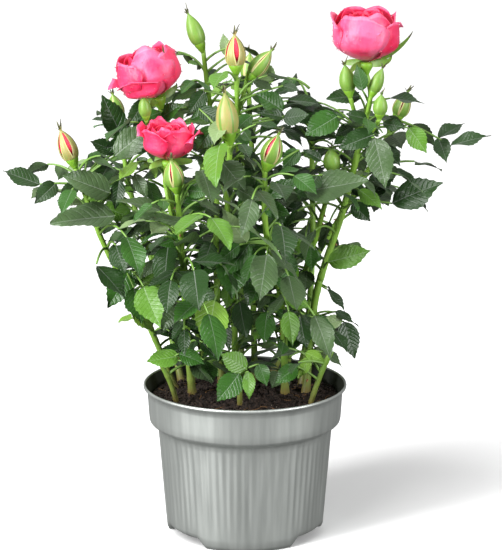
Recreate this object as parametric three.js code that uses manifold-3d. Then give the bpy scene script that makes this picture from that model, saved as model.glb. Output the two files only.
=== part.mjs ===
// Potted rose bush: a miniature pink rose in its nursery pot.
// The pot is turned about the vertical axis and stands on z = 0, with that axis through the origin.
// +Z is up and -Y is the front. All sizes are in millimetres.
// Canes rise from the compost. Each one carries a mass of leaves, and every leaf, bud and bloom
// is grown by the same seeded rule.

import * as THREE from 'three';
import { mergeVertices } from 'three/addons/utils/BufferGeometryUtils.js';
import Module from 'manifold-3d';

const wasm = await Module();
wasm.setup();

// Pot sizes
const POT_HEIGHT = 90;
const RIM_RADIUS = 60;
const LIP_WIDTH = 2.2;
const COLLAR_HEIGHT = 22;
const COLLAR_FOOT_RADIUS = 56.6;
const BODY_TOP_RADIUS = 51.6;
const BODY_FOOT_RADIUS = 46.5;
const POT_WALL = 1.4;
const POT_FLOOR = 7;
const POT_SEGMENTS = 40;
const BAY_HEIGHT = 5;
const BAY_INNER_RADIUS = 17;
const BAY_HALF_ANGLE = 27;
const BAY_TOP_HALF_ANGLE = 19;
const FIRST_BAY_ANGLE = -27;
const DRAIN_RADIUS = 3.5;
const DRAIN_RING_RADIUS = 33;
const DRAIN_HALF_ANGLE = 9;

// Compost sizes
const COMPOST_TOP = 80;
const COMPOST_EDGE_DROP = 1.2;
const COMPOST_ROUGHNESS = 0.3;

// Clearance between pieces that meet
const GAP = 0.3;

// Canes and stems
const CANE_SIDES = 6;
const CANE_STEPS = 3;
const STEM_SIDES = 4;
const STEM_STEPS = 4;
const STALK_STEPS = 2;
const ROOT_FLARE = 0.9;
const TWIG_RADIUS = 0.9;

// Leaves: a stalk with leaflets in pairs and one at its end
const SPIRAL_ANGLE = 137.5;
const STALK_FOOT_RADIUS = 0.95;
const STALK_TIP_RADIUS = 0.5;
const LEAFLET_WIDTH = 0.66;
const LEAFLET_THICKNESS = 0.6;
const LEAFLET_SAG = 0.3;
const LEAF_CLEARANCE = 0.45;
const CROWN_CENTRE = new THREE.Vector3(2, 0, 198);
const CROWN_RADII = new THREE.Vector3(152, 124, 116);

// Colours, roughness and metalness
const POT_LOOK = { color: 0xa6adaa, roughness: 0.42, metalness: 0.25 };
const COMPOST_LOOK = { color: 0x2b211b, roughness: 0.95, metalness: 0 };
const CANE_LOOK = { color: 0x8fae4a, roughness: 0.55, metalness: 0 };
const LEAF_LOOK = { color: 0x3f6b38, roughness: 0.5, metalness: 0 };
const PETAL_LOOK = { color: 0xf0417f, roughness: 0.55, metalness: 0 };

// The canes. foot is where each stands on the compost. bends are two points it passes through and
// top is where its flower stands. leafy is the height at which its mass of leaves starts.
// flower is the bud or bloom at the top: its tip, and its greatest radius.
const CANES = [
  { name: 'front_left', foot: [-31, 3], bends: [[-33.8, -10, 121], [-35.3, -29, 165]],
    top: [-38, -45, 214], radii: [2.4, 1.1], leafy: 134, leaves: 8, turn: 200,
    flower: { tip: [-42, -48, 237], radius: 4.2 } },
  { name: 'front_right', foot: [24, 3], bends: [[21, -14, 143], [12, -29, 188]],
    top: [11.3, -35, 225], radii: [2.2, 1.1], leafy: 138, leaves: 8, turn: 300,
    flower: { tip: [21, -35, 250], radius: 4.4 } },
  { name: 'centre_front', foot: [-5, 14], bends: [[-7, 0, 142], [-10, -17, 195]],
    top: [-8.3, -31, 239], radii: [2.1, 1.1], leafy: 142, leaves: 7, turn: 250,
    flower: { tip: [-12, -33, 275], radius: 5.2 } },
  { name: 'left', foot: [-41, 14], bends: [[-58, 6, 126], [-81, -4, 172]],
    top: [-98, -6, 221], radii: [1.9, 1.0], leafy: 138, leaves: 8, turn: 150,
    flower: { tip: [-108, -6, 248], radius: 4.0 } },
  { name: 'right', foot: [36, 6], bends: [[42, 5, 142], [57, 5, 192]],
    top: [71.5, 1, 256], radii: [2.3, 1.3], leafy: 150, leaves: 7, turn: 20 },
  { name: 'left_back', foot: [-22, 36], bends: [[-34, 30, 140], [-45, 9, 205]],
    top: [-49.5, -5, 246], radii: [2.2, 1.3], leafy: 146, leaves: 7, turn: 170 },
  { name: 'right_inner', foot: [24, 30], bends: [[31, 20, 135], [43, 6, 182]],
    top: [51, -7, 217], radii: [1.9, 1.0], leafy: 150, leaves: 6, turn: 330,
    flower: { tip: [49, -9, 236], radius: 3.6 } },
  { name: 'centre_left', foot: [-14, 27], bends: [[-17, 22, 150], [-17, 15, 215]],
    top: [-24, 8, 286], radii: [2.0, 1.0], leafy: 158, leaves: 8, turn: 120,
    flower: { tip: [-34.8, 8, 313], radius: 4.0 } },
  { name: 'centre', foot: [6, 30], bends: [[4, 24, 150], [-3, 8, 215]],
    top: [-5, -4, 275], radii: [2.0, 1.0], leafy: 162, leaves: 7, turn: 64,
    flower: { tip: [-6, -5, 303], radius: 4.4 } },
  { name: 'rear_right', foot: [16, 44], bends: [[38, 46, 145], [66, 46, 195]],
    top: [90, 40, 240], radii: [2.0, 1.0], leafy: 140, leaves: 8, turn: 40,
    flower: { tip: [98, 38, 262], radius: 3.8 } },
  { name: 'rear', foot: [-3, 46], bends: [[0, 58, 150], [4, 68, 205]],
    top: [2, 74, 256], radii: [2.0, 1.0], leafy: 140, leaves: 7, turn: 90,
    flower: { tip: [3, 76, 280], radius: 3.8 } },
  { name: 'rear_left', foot: [-38, 30], bends: [[-52, 42, 140], [-68, 52, 190]],
    top: [-76, 54, 236], radii: [2.0, 1.0], leafy: 138, leaves: 7, turn: 140,
    flower: { tip: [-80, 55, 258], radius: 3.8 } },
  { name: 'right_back', foot: [34, 22], bends: [[40, 34, 150], [40, 44, 210]],
    top: [38, 40, 264], radii: [1.9, 1.0], leafy: 156, leaves: 7, turn: 10,
    flower: { tip: [37, 38, 288], radius: 3.8 } },
];

// Short leafy shoots that rise straight from the compost and keep low
const LOW_SHOOTS = [
  { name: 'low_left', foot: [-40, -14], bends: [[-42, -17, 90], [-45, -20, 99]],
    top: [-49, -23, 108], radii: [1.6, 1.1], leaves: 3, turn: 190 },
  { name: 'low_front', foot: [-3, -22], bends: [[-3, -26, 90], [-3, -30, 99]],
    top: [-2, -34, 107], radii: [1.6, 1.1], leaves: 3, turn: 262 },
  { name: 'low_right', foot: [38, -18], bends: [[41, -21, 92], [45, -24, 104]],
    top: [50, -27, 116], radii: [1.6, 1.1], leaves: 4, turn: 330 },
  { name: 'low_rear', foot: [33, 36], bends: [[34, 38, 92], [38, 44, 106]],
    top: [44, 50, 118], radii: [1.6, 1.1], leaves: 4, turn: 50 },
];

// Side twigs that carry buds, from a point along the stem of a mass to the top of the bud
const SIDE_BUDS = [
  { mass: 'centre', along: 0.78, foot: [1.4, 4, 270], tip: [19, 4, 291], radius: 3.8 },
  { mass: 'left_back', along: 0.84, foot: [-56, -20, 250], tip: [-58, -22, 268], radius: 2.6 },
  { mass: 'right', along: 0.86, foot: [60, -8, 262], tip: [56, -10, 285], radius: 3.4 },
  { mass: 'right', along: 0.8, foot: [77, -14, 250], tip: [78, -16, 268], radius: 3.0 },
];

// The blooms, each on its own stalk. mass is the mass that carries it, and spread is how far its
// petals lean out. turn is how far it is turned on its stalk, in degrees.
const BLOOMS = [
  { name: 'bloom_left', mass: 'left_back', base: [-49.6, -8, 259], top: [-61, -8, 291],
    size: 1.0, spread: 0.95, turn: 0 },
  { name: 'bloom_low_left', mass: 'front_left', twig: { along: 0.45, foot: [-45, -24, 212] },
    base: [-43.4, -30, 228.5], top: [-42.5, -37, 250], size: 0.9, spread: 1.04, turn: 10 },
  { name: 'bloom_right', mass: 'right', base: [69.4, 0, 280], top: [69.4, 0, 312],
    size: 1.0, spread: 1.0, turn: 0 },
];

// Some leaves are aimed, so that the crown keeps its outline. rise and turn are in degrees, and
// reach is the length of the stalk.
const AIMED_LEAVES = [
  { mass: 'left', along: 0.72, turn: 183, rise: 28, reach: 29, size: 25 },
  { mass: 'left', along: 0.3, turn: 205, rise: 8, reach: 38, size: 27 },
  { mass: 'left', along: 0.1, turn: 250, rise: -20, reach: 34, size: 27 },
  { mass: 'right', along: 0.7, turn: 2, rise: 26, reach: 54, size: 31 },
  { mass: 'right', along: 0.3, turn: 345, rise: 20, reach: 38, size: 27 },
  { mass: 'right', along: 0.12, turn: 318, rise: -14, reach: 30, size: 27 },
  { mass: 'low_right', along: 0.9, turn: 340, rise: -5, reach: 20, size: 22 },
  { mass: 'low_front', along: 0.9, turn: 250, rise: -20, reach: 24, size: 20 },
  { mass: 'low_left', along: 0.9, turn: 215, rise: 10, reach: 20, size: 20 },
];

// The tries a leaf gets when its first place is taken: a turn and a tilt in degrees
const TRIES = [[0, 0], [24, 8], [-24, -8], [44, 14], [-44, 4], [68, -12], [-68, 18]];

const UP = new THREE.Vector3(0, 0, 1);
const SIDE = new THREE.Vector3(1, 0, 0);

function vector(list) {
  return new THREE.Vector3(list[0], list[1], list[2]);
}

function radians(degrees) {
  return THREE.MathUtils.degToRad(degrees);
}

// Seeded numbers from 0 to 1
function seeded(seed) {
  let state = (Math.imul(seed, 7919) + 12345) >>> 0;
  const next = () => {
    state = (Math.imul(state, 1664525) + 1013904223) >>> 0;
    return state / 4294967296;
  };
  next();
  next();
  return next;
}

// Geometry with shared corners merged and flat triangles left out, as a closed solid
function solidOf(geometry, nearness = 1e-4) {
  const bare = geometry.clone();
  bare.deleteAttribute('normal');
  bare.deleteAttribute('uv');
  const merged = mergeVertices(bare, nearness);
  const corners = merged.index.array;
  const triangles = [];
  for (let i = 0; i < corners.length; i += 3) {
    const [a, b, c] = [corners[i], corners[i + 1], corners[i + 2]];
    if (a !== b && b !== c && c !== a) {
      triangles.push(a, b, c);
    }
  }
  return new wasm.Manifold(new wasm.Mesh({
    numProp: 3,
    vertProperties: Float32Array.from(merged.attributes.position.array),
    triVerts: Uint32Array.from(triangles),
  }));
}

function geometryOf(solid) {
  const mesh = solid.getMesh();
  const geometry = new THREE.BufferGeometry();
  geometry.setAttribute('position', new THREE.BufferAttribute(mesh.vertProperties, 3));
  geometry.setIndex(new THREE.BufferAttribute(mesh.triVerts, 1));
  geometry.computeVertexNormals();
  return geometry;
}

function largest(solid) {
  const bodies = solid.decompose();
  bodies.sort((a, b) => b.volume() - a.volume());
  return bodies[0];
}

// Whether each edge still has just two faces when corners are rounded to a micrometre
function isClean(solid) {
  const { vertProperties, triVerts } = solid.getMesh();
  const corners = [];
  for (let i = 0; i < vertProperties.length; i += 3) {
    const place = [vertProperties[i], vertProperties[i + 1], vertProperties[i + 2]];
    corners.push(place.map((value) => value.toFixed(3)).join(' '));
  }
  const faces = new Map();
  for (let i = 0; i < triVerts.length; i += 3) {
    const [a, b, c] = [triVerts[i], triVerts[i + 1], triVerts[i + 2]].map((k) => corners[k]);
    if (a !== b && b !== c && c !== a) {
      for (const edge of [[a, b], [b, c], [c, a]]) {
        const key = edge.sort().join('/');
        faces.set(key, (faces.get(key) ?? 0) + 1);
      }
    }
  }
  return [...faces.values()].every((count) => count === 2);
}

// The solids as one body. One that doesn't join cleanly is left out, sealed hollows are filled and
// loose scraps dropped.
function fused(solids) {
  let whole = solids[0];
  for (const solid of solids.slice(1)) {
    const joined = whole.add(solid);
    if (isClean(joined)) {
      whole = joined;
    }
  }
  return largest(solidOf(geometryOf(largest(whole)), 1e-3));
}

// Moves every vertex of a geometry
function shaped(geometry, place) {
  const position = geometry.attributes.position;
  const point = new THREE.Vector3();
  for (let i = 0; i < position.count; i += 1) {
    point.fromBufferAttribute(position, i);
    const moved = place(point);
    position.setXYZ(i, moved.x, moved.y, moved.z);
  }
  return geometry;
}

// A turned profile, given from the bottom of the outside round to the inside
function turned(profile, segments) {
  const points = profile.map(([radius, height]) => new THREE.Vector2(radius, height));
  return new THREE.LatheGeometry(points, segments).rotateX(Math.PI / 2);
}

// A round stalk laid along part of a curve. radiusAt gives its radius there, and a flat foot is
// cut level.
function stalk(curve, from, to, radiusAt, sides, steps, flatFoot = false) {
  const rod = new THREE.CylinderGeometry(1, 1, 1, sides, steps);
  const lean = new THREE.Vector3().subVectors(curve.getPoint(to), curve.getPoint(from)).cross(UP);
  const guide = lean.length() > 0.01 ? lean.normalize() : SIDE;
  return shaped(rod, (point) => {
    const along = from + (to - from) * (point.y + 0.5);
    const centre = curve.getPoint(along);
    const ahead = curve.getTangent(along);
    const across = guide.clone().addScaledVector(ahead, -guide.dot(ahead)).normalize();
    const away = across.clone().cross(ahead);
    const radius = radiusAt(along);
    const moved = centre.addScaledVector(across, point.x * radius).addScaledVector(away, point.z * radius);
    if (flatFoot && point.y < -0.49) {
      moved.z = curve.getPoint(from).z;
    }
    return moved;
  });
}

// The middle of a stalk at a part of its curve, on the straight runs between its steps
function middleOf(curve, from, to, steps, along) {
  const part = (along - from) / (to - from) * steps;
  const step = Math.min(steps - 1, Math.floor(part));
  const start = curve.getPoint(from + (to - from) * step / steps);
  const end = curve.getPoint(from + (to - from) * (step + 1) / steps);
  return start.lerp(end, part - step);
}

// A leaflet: a slim spindle pressed flat, with a keel below and its tip bent down. The margin
// swells it on every side, for the test against its neighbours.
const BLADE = [[0, 0, 0], [0.27, 0.42, 1.1], [0.64, 0.46, 0.8], [1, 0, 0]];

function leaflet(blade, margin = 0) {
  const { base, ahead, normal, length, droop } = blade;
  const across = new THREE.Vector3().crossVectors(normal, ahead);
  const steps = BLADE.length - 1;
  const spindle = new THREE.CylinderGeometry(0, 1, 1, margin > 0 ? 4 : 3, steps);
  return shaped(spindle, (point) => {
    const [along, width, keel] = BLADE[Math.round((point.y + 0.5) * steps)];
    const half = width * LEAFLET_WIDTH * length + margin;
    const depth = keel * LEAFLET_THICKNESS;
    const moved = base.clone().addScaledVector(ahead, along * (length + margin));
    moved.addScaledVector(normal, -droop * length * along * along);
    if (Math.abs(point.x) > 0.05) {
      moved.addScaledVector(across, Math.sign(point.x) * half);
      return moved;
    }
    if (Math.abs(point.z) > 0.05) {
      const below = point.z > 0;
      moved.addScaledVector(normal, below ? -depth - margin : margin);
      return moved;
    }
    return moved.addScaledVector(normal, -depth / 3);
  });
}

// A leaf's stalk that widens at its end into the last leaflet, in one three-sided rod
function spine(curve, taper, blade) {
  const stalkSteps = STALK_STEPS;
  const steps = stalkSteps + BLADE.length - 1;
  const rod = new THREE.CylinderGeometry(0, 1, 1, 3, steps);
  const across = new THREE.Vector3().crossVectors(blade.normal, blade.ahead);
  return shaped(rod, (point) => {
    const step = Math.round((point.y + 0.5) * steps);
    const onStalk = step <= stalkSteps;
    const [along, width, keel] = BLADE[Math.max(0, step - stalkSteps)];
    const radius = taper(step / stalkSteps);
    const half = onStalk ? radius : width * LEAFLET_WIDTH * blade.length;
    const depth = onStalk ? radius : keel * LEAFLET_THICKNESS;
    const moved = onStalk ? curve.getPoint(step / stalkSteps) : blade.base.clone();
    if (!onStalk) {
      moved.addScaledVector(blade.ahead, along * blade.length);
      moved.addScaledVector(blade.normal, -blade.droop * blade.length * along * along);
    }
    if (Math.abs(point.x) > 0.05) {
      return moved.addScaledVector(across, Math.sign(point.x) * half);
    }
    return moved.addScaledVector(blade.normal, point.z > 0.05 ? -depth : -depth / 3);
  });
}

// A spindle-shaped bud on its hip: the profile is given as parts of its length and radius
const BUD_PROFILE = [[0, 0], [0.62, 0.1], [0.5, 0.26], [1, 0.46], [0.5, 0.76], [0, 1]];

function upright(from, to, geometry) {
  const axis = new THREE.Vector3().subVectors(to, from);
  const turn = new THREE.Quaternion().setFromUnitVectors(UP, axis.clone().normalize());
  return shaped(geometry, (point) => point.clone().applyQuaternion(turn).add(from));
}

function bud(from, to, radius) {
  const length = from.distanceTo(to);
  const profile = BUD_PROFILE.map(([r, z]) => [r * radius, z * length]);
  return upright(from, to, turned(profile, 5));
}

// Every finished piece that a new leaf keeps clear of
const placed = [];

function box(geometry) {
  geometry.computeBoundingBox();
  return geometry.boundingBox.clone();
}

function note(geometry, mass, kind) {
  placed.push({ solid: solidOf(geometry), bounds: box(geometry), mass, kind });
}

// Whether a piece touches one that is already there
function meets(geometry, ignored) {
  const bounds = box(geometry);
  let solid = null;
  for (const other of placed) {
    if (other.bounds.intersectsBox(bounds) && !ignored(other)) {
      solid = solid ?? solidOf(geometry);
      if (!solid.intersect(other.solid).isEmpty()) {
        return true;
      }
    }
  }
  return false;
}

function inCrown(point) {
  const from = point.clone().sub(CROWN_CENTRE).divide(CROWN_RADII);
  return from.length() < 1;
}

// One leaf: its stalk and its leaflets, in the place that a turn and a rise give it
function leafAt(stem, mass, along, turn, rise, reach, size, roll, random) {
  const foot = middleOf(stem.curve, stem.from, 1, stem.steps, stem.from + (1 - stem.from) * along);
  const aim = (angle) => new THREE.Vector3(
    Math.cos(radians(turn)) * Math.cos(radians(angle)),
    Math.sin(radians(turn)) * Math.cos(radians(angle)),
    Math.sin(radians(angle)),
  );
  const bow = foot.clone().addScaledVector(aim(rise + 16), reach * 0.55);
  const end = foot.clone().addScaledVector(aim(rise - 12), reach);
  const curve = new THREE.QuadraticBezierCurve3(foot, bow, end);
  const taper = (t) => STALK_FOOT_RADIUS + (STALK_TIP_RADIUS - STALK_FOOT_RADIUS) * t;
  const pairs = [{ back: 0.52, scale: 0.94, splay: 60 }, { back: 1.12, scale: 0.78, splay: 72 }]
    .filter((pair) => pair.back * size < reach - 7);
  const blade = (t, splay, scale) => {
    const ahead = curve.getTangent(t);
    const flat = new THREE.Vector3().crossVectors(ahead, UP).normalize();
    const across = flat.applyAxisAngle(ahead, radians(roll));
    const normal = new THREE.Vector3().crossVectors(across, ahead);
    const tilt = 0.16 * (random() - 0.5);
    const way = ahead.clone().multiplyScalar(Math.cos(splay)).addScaledVector(across, Math.sin(splay));
    way.addScaledVector(normal, tilt).addScaledVector(UP, -LEAFLET_SAG).normalize();
    normal.addScaledVector(way, -normal.dot(way)).normalize();
    const droop = 0.06 + 0.14 * random();
    return { base: middleOf(curve, 0, 1, STALK_STEPS, t), ahead: way, normal, length: size * scale, droop };
  };
  const last = blade(1, 0, 1.08);
  const blades = [last];
  for (const { back, scale, splay } of pairs) {
    for (const hand of [-1, 1]) {
      const spread = hand * radians(splay + 8 * (random() - 0.5));
      blades.push(blade(1 - back * size / reach, spread, scale));
    }
  }
  const clear = [];
  const solids = [];
  for (const next of blades) {
    const around = leaflet(next, LEAF_CLEARANCE);
    const tip = next.base.clone().addScaledVector(next.ahead, next.length);
    if (inCrown(tip) && !meets(around, () => false)) {
      const room = solidOf(around);
      if (solids.every((other) => other.intersect(room).isEmpty())) {
        clear.push(next);
        solids.push(solidOf(leaflet(next)));
      }
    }
  }
  const thick = stalk(curve, 0.06, 1, (t) => taper(t) + LEAF_CLEARANCE, 3, STALK_STEPS);
  const own = (other) => other.mass === mass && (other.kind === 'stem' || other.kind === 'stalk');
  const blocked = meets(thick, own);
  return {
    blades: clear.slice(1),
    full: blades.length - 1,
    free: !blocked && clear[0] === last,
    rod: spine(curve, taper, last),
    last: leaflet(last),
  };
}

// The best of the tries for one leaf, or nothing where there is no room
function growLeaf(stem, mass, leaf, seed) {
  let best = null;
  for (const [turn, tilt] of TRIES) {
    const random = seeded(seed);
    const roll = 70 * (random() - 0.5);
    const trial = leafAt(stem, mass, leaf.along, leaf.turn + turn, leaf.rise + tilt,
      leaf.reach, leaf.size, roll, random);
    if (trial.free && (!best || trial.blades.length > best.blades.length)) {
      best = trial;
    }
    if (best && best.blades.length === best.full) {
      break;
    }
  }
  return best && best.blades.length * 2 >= best.full ? best : null;
}

// The rule for the leaves of one mass: a spiral up its stem, longest in the middle
function spiralLeaves(cane, index, low) {
  const leaves = [];
  for (let k = 0; k < cane.leaves; k += 1) {
    const random = seeded(index * 100 + k);
    const along = low ? 0.55 + 0.45 * (k / cane.leaves) : 0.05 + 0.84 * ((k + 0.5) / cane.leaves);
    const middle = 1 - Math.abs(2 * along - 0.8) ** 2;
    leaves.push({
      along,
      turn: cane.turn + k * SPIRAL_ANGLE + 16 * (random() - 0.5),
      rise: (low ? 12 : 6 + 30 * along) + 14 * (random() - 0.5),
      reach: low ? 24 + 8 * random() : 27 + 19 * Math.max(0, middle) + 5 * random(),
      size: low ? 20 + 4 * random() : 22 + 7 * Math.max(0, middle) + 3 * random(),
    });
  }
  return leaves;
}

const group = new THREE.Group();

// The highest triangle goes first, because it tells inside from outside most surely
function highestFirst(geometry) {
  const corners = geometry.index.array;
  const { position } = geometry.attributes;
  let first = 0;
  let highest = -Infinity;
  for (let i = 0; i < corners.length; i += 3) {
    const [a, b, c] = [corners[i], corners[i + 1], corners[i + 2]];
    const height = position.getZ(a) + position.getZ(b) + position.getZ(c);
    if (height > highest) {
      highest = height;
      first = i;
    }
  }
  geometry.setIndex([...corners.slice(first), ...corners.slice(0, first)]);
  return geometry;
}

function addPiece(name, solid, look) {
  const geometry = highestFirst(geometryOf(solid));
  const mesh = new THREE.Mesh(geometry, new THREE.MeshStandardMaterial(look));
  mesh.name = name;
  group.add(mesh);
}

// Pot: outside wall with its collar and rolled lip, then the inside wall and the floor
const stepHeight = POT_HEIGHT - COLLAR_HEIGHT;
const potProfile = [
  [0, 0],
  [BODY_FOOT_RADIUS - 2, 0],
  [BODY_FOOT_RADIUS, 2.6],
  [BODY_TOP_RADIUS, stepHeight - 4],
  [COLLAR_FOOT_RADIUS - 1, stepHeight - 0.6],
  [COLLAR_FOOT_RADIUS, stepHeight + 1.2],
  [RIM_RADIUS - LIP_WIDTH, POT_HEIGHT - 3.4],
  [RIM_RADIUS, POT_HEIGHT - 2.4],
  [RIM_RADIUS, POT_HEIGHT - 0.7],
  [RIM_RADIUS - 0.9, POT_HEIGHT],
  [RIM_RADIUS - LIP_WIDTH - 0.3, POT_HEIGHT - 0.9],
  [COLLAR_FOOT_RADIUS - POT_WALL, stepHeight + 1.8],
  [BODY_TOP_RADIUS - POT_WALL, stepHeight - 3],
  [BODY_FOOT_RADIUS - POT_WALL, POT_FLOOR],
  [0, POT_FLOOR],
];
let pot = solidOf(turned(potProfile, POT_SEGMENTS));

// Three raised bays under the pot leave three feet and a middle to stand on. Each has two drain holes.
for (let bay = 0; bay < 3; bay += 1) {
  const middle = radians(FIRST_BAY_ANGLE + 120 * bay);
  const half = radians(BAY_HALF_ANGLE);
  const outline = new THREE.Shape();
  outline.absarc(0, 0, RIM_RADIUS, middle - half, middle + half, false);
  outline.absarc(0, 0, BAY_INNER_RADIUS, middle + half, middle - half, true);
  outline.closePath();
  const options = { depth: BAY_HEIGHT + 2, bevelEnabled: false, curveSegments: 4 };
  const block = new THREE.ExtrudeGeometry(outline, options);
  const narrow = BAY_TOP_HALF_ANGLE / BAY_HALF_ANGLE;
  shaped(block, (point) => {
    const radius = Math.hypot(point.x, point.y);
    let angle = Math.atan2(point.y, point.x) - middle;
    angle = Math.atan2(Math.sin(angle), Math.cos(angle));
    const scale = point.z > 1 ? narrow : 1;
    const turn = middle + angle * scale;
    return new THREE.Vector3(Math.cos(turn) * radius, Math.sin(turn) * radius, point.z - 2);
  });
  pot = pot.subtract(solidOf(block));
  for (const side of [-1, 1]) {
    const angle = middle + side * radians(DRAIN_HALF_ANGLE);
    const hole = new THREE.CylinderGeometry(DRAIN_RADIUS, DRAIN_RADIUS, 6, 8).rotateX(Math.PI / 2);
    hole.translate(DRAIN_RING_RADIUS * Math.cos(angle), DRAIN_RING_RADIUS * Math.sin(angle), POT_FLOOR - 1);
    pot = pot.subtract(solidOf(hole));
  }
}
addPiece('pot', pot, POT_LOOK);

// Compost: fills the pot to a little below the rim, with a slightly uneven top
const compostProfile = [
  [0, POT_FLOOR + GAP],
  [BODY_FOOT_RADIUS - POT_WALL - 0.4, POT_FLOOR + GAP],
  [BODY_TOP_RADIUS - POT_WALL - 0.4, stepHeight - 2.7],
  [COLLAR_FOOT_RADIUS - POT_WALL - 0.4, stepHeight + 2.1],
  [COLLAR_FOOT_RADIUS - POT_WALL, COMPOST_TOP - COMPOST_EDGE_DROP],
  [COLLAR_FOOT_RADIUS - 5, COMPOST_TOP],
  [36, COMPOST_TOP],
  [18, COMPOST_TOP],
  [0, COMPOST_TOP],
];
const compostRandom = seeded(5);
const compostBumps = Array.from({ length: POT_SEGMENTS * 4 }, () => compostRandom() * COMPOST_ROUGHNESS);
const compost = shaped(turned(compostProfile, POT_SEGMENTS / 2), (point) => {
  const radius = Math.hypot(point.x, point.y);
  if (point.z < COMPOST_TOP - 0.5 || radius < 1) {
    return point;
  }
  const sector = Math.round(Math.atan2(point.y, point.x) / (2 * Math.PI / POT_SEGMENTS)) + POT_SEGMENTS;
  const bump = compostBumps[(sector % POT_SEGMENTS) + POT_SEGMENTS * Math.min(3, Math.floor(radius / 17))];
  return new THREE.Vector3(point.x, point.y, point.z - bump);
});
const compostSolid = solidOf(compost);
addPiece('compost', compostSolid, COMPOST_LOOK);
note(compost, 'compost', 'limb');
placed.push({
  solid: pot,
  bounds: box(geometryOf(pot)),
  mass: 'pot',
  kind: 'limb',
});

// The height along a curve at which it first reaches a level
function partAtHeight(curve, height) {
  let part = 0;
  while (part < 1 && curve.getPoint(part).z < height) {
    part += 0.0005;
  }
  return part;
}

// Lay out every stem first, so that leaves keep clear of all of them
const stems = new Map();
const shoots = [...CANES, ...LOW_SHOOTS];
for (const shoot of shoots) {
  const footZ = COMPOST_TOP + GAP;
  const points = [[...shoot.foot, footZ], ...shoot.bends, shoot.top].map(vector);
  const curve = new THREE.CatmullRomCurve3(points, false, 'centripetal');
  const [thick, thin] = shoot.radii;
  const radiusAt = (t) => thick + (thin - thick) * t + ROOT_FLARE * Math.max(0, 1 - t * 14) ** 2;
  const leafy = shoot.leafy ? partAtHeight(curve, shoot.leafy) : 0;
  const clear = shoot.leafy ? GAP / curve.getLength() : 0;
  const stem = { curve, from: leafy + clear, steps: shoot.leafy ? STEM_STEPS : 3, pieces: [] };
  stems.set(shoot.name, stem);
  if (shoot.leafy) {
    const cane = stalk(curve, 0, leafy, radiusAt, CANE_SIDES, CANE_STEPS, true);
    addPiece(`cane_${shoot.name}`, solidOf(cane), CANE_LOOK);
    note(cane, shoot.name, 'limb');
  }
  const rod = stalk(curve, stem.from, 1, radiusAt, STEM_SIDES, stem.steps, !shoot.leafy);
  stem.pieces.push(rod);
  note(rod, shoot.name, 'stem');
  if (shoot.flower) {
    const from = curve.getPoint(1).addScaledVector(curve.getTangent(1), -1.5);
    const top = bud(from, vector(shoot.flower.tip), shoot.flower.radius);
    stem.pieces.push(top);
    note(top, shoot.name, 'bud');
  }
}

function sideTwig(stem, along, tip, radius) {
  const start = middleOf(stem.curve, stem.from, 1, stem.steps, stem.from + (1 - stem.from) * along);
  const middle = start.clone().lerp(tip, 0.5);
  middle.z -= 0.12 * start.distanceTo(tip);
  const curve = new THREE.QuadraticBezierCurve3(start, middle, tip);
  return { curve, rod: stalk(curve, 0, 1, () => radius, 4, 2) };
}

for (const side of SIDE_BUDS) {
  const stem = stems.get(side.mass);
  const foot = vector(side.foot);
  const twig = sideTwig(stem, side.along, foot, TWIG_RADIUS);
  const from = foot.clone().addScaledVector(twig.curve.getTangent(1), -1.2);
  const top = bud(from, vector(side.tip), side.radius);
  stem.pieces.push(twig.rod, top);
  note(twig.rod, side.mass, 'stem');
  note(top, side.mass, 'bud');
}

// A bloom: a stalk with its hip, sepals folded back, a closed heart and whorls of thick petals
const HEART_PROFILE = [[0, -1], [5, 0], [9.6, 9], [9.4, 22], [5, 28.5], [0, 29]];
const HIP_PROFILE = [[0, -8], [2.8, -5.5], [3.4, 0.4], [0, 1]];
const WHORLS = [
  { count: 5, turn: 37, belly: 15.4, rim: 18.6, height: 29, halfAngle: 0.84 },
];
const PETAL_THICKNESS = 1.1;

function petal(whorl, turn, spread) {
  const slab = new THREE.BoxGeometry(2, 1, 1, 2, 1, 3);
  return shaped(slab, (point) => {
    const along = point.z + 0.5;
    const across = point.x;
    const rim = Math.max(0, along - 0.55) / 0.45;
    const belly = Math.sin(Math.min(1, along / 0.5) * Math.PI / 2);
    const radius = 2 + (whorl.belly - 2) * belly + (whorl.rim * spread - whorl.belly) * rim ** 1.5;
    const rounding = 1 - 0.24 * across * across * along;
    const height = 1 + (whorl.height - 1) * along ** 0.9 * rounding - 4.5 * spread * rim ** 3;
    const open = 0.45 + (whorl.halfAngle - 0.45) * Math.sin(Math.min(1, along * 1.25) * Math.PI / 2);
    const angle = turn - across * open * (1 - 0.25 * along * along);
    const skin = radius + point.y * PETAL_THICKNESS + 2.2 * across * along;
    return new THREE.Vector3(skin * Math.cos(angle), skin * Math.sin(angle), height);
  });
}

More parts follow.
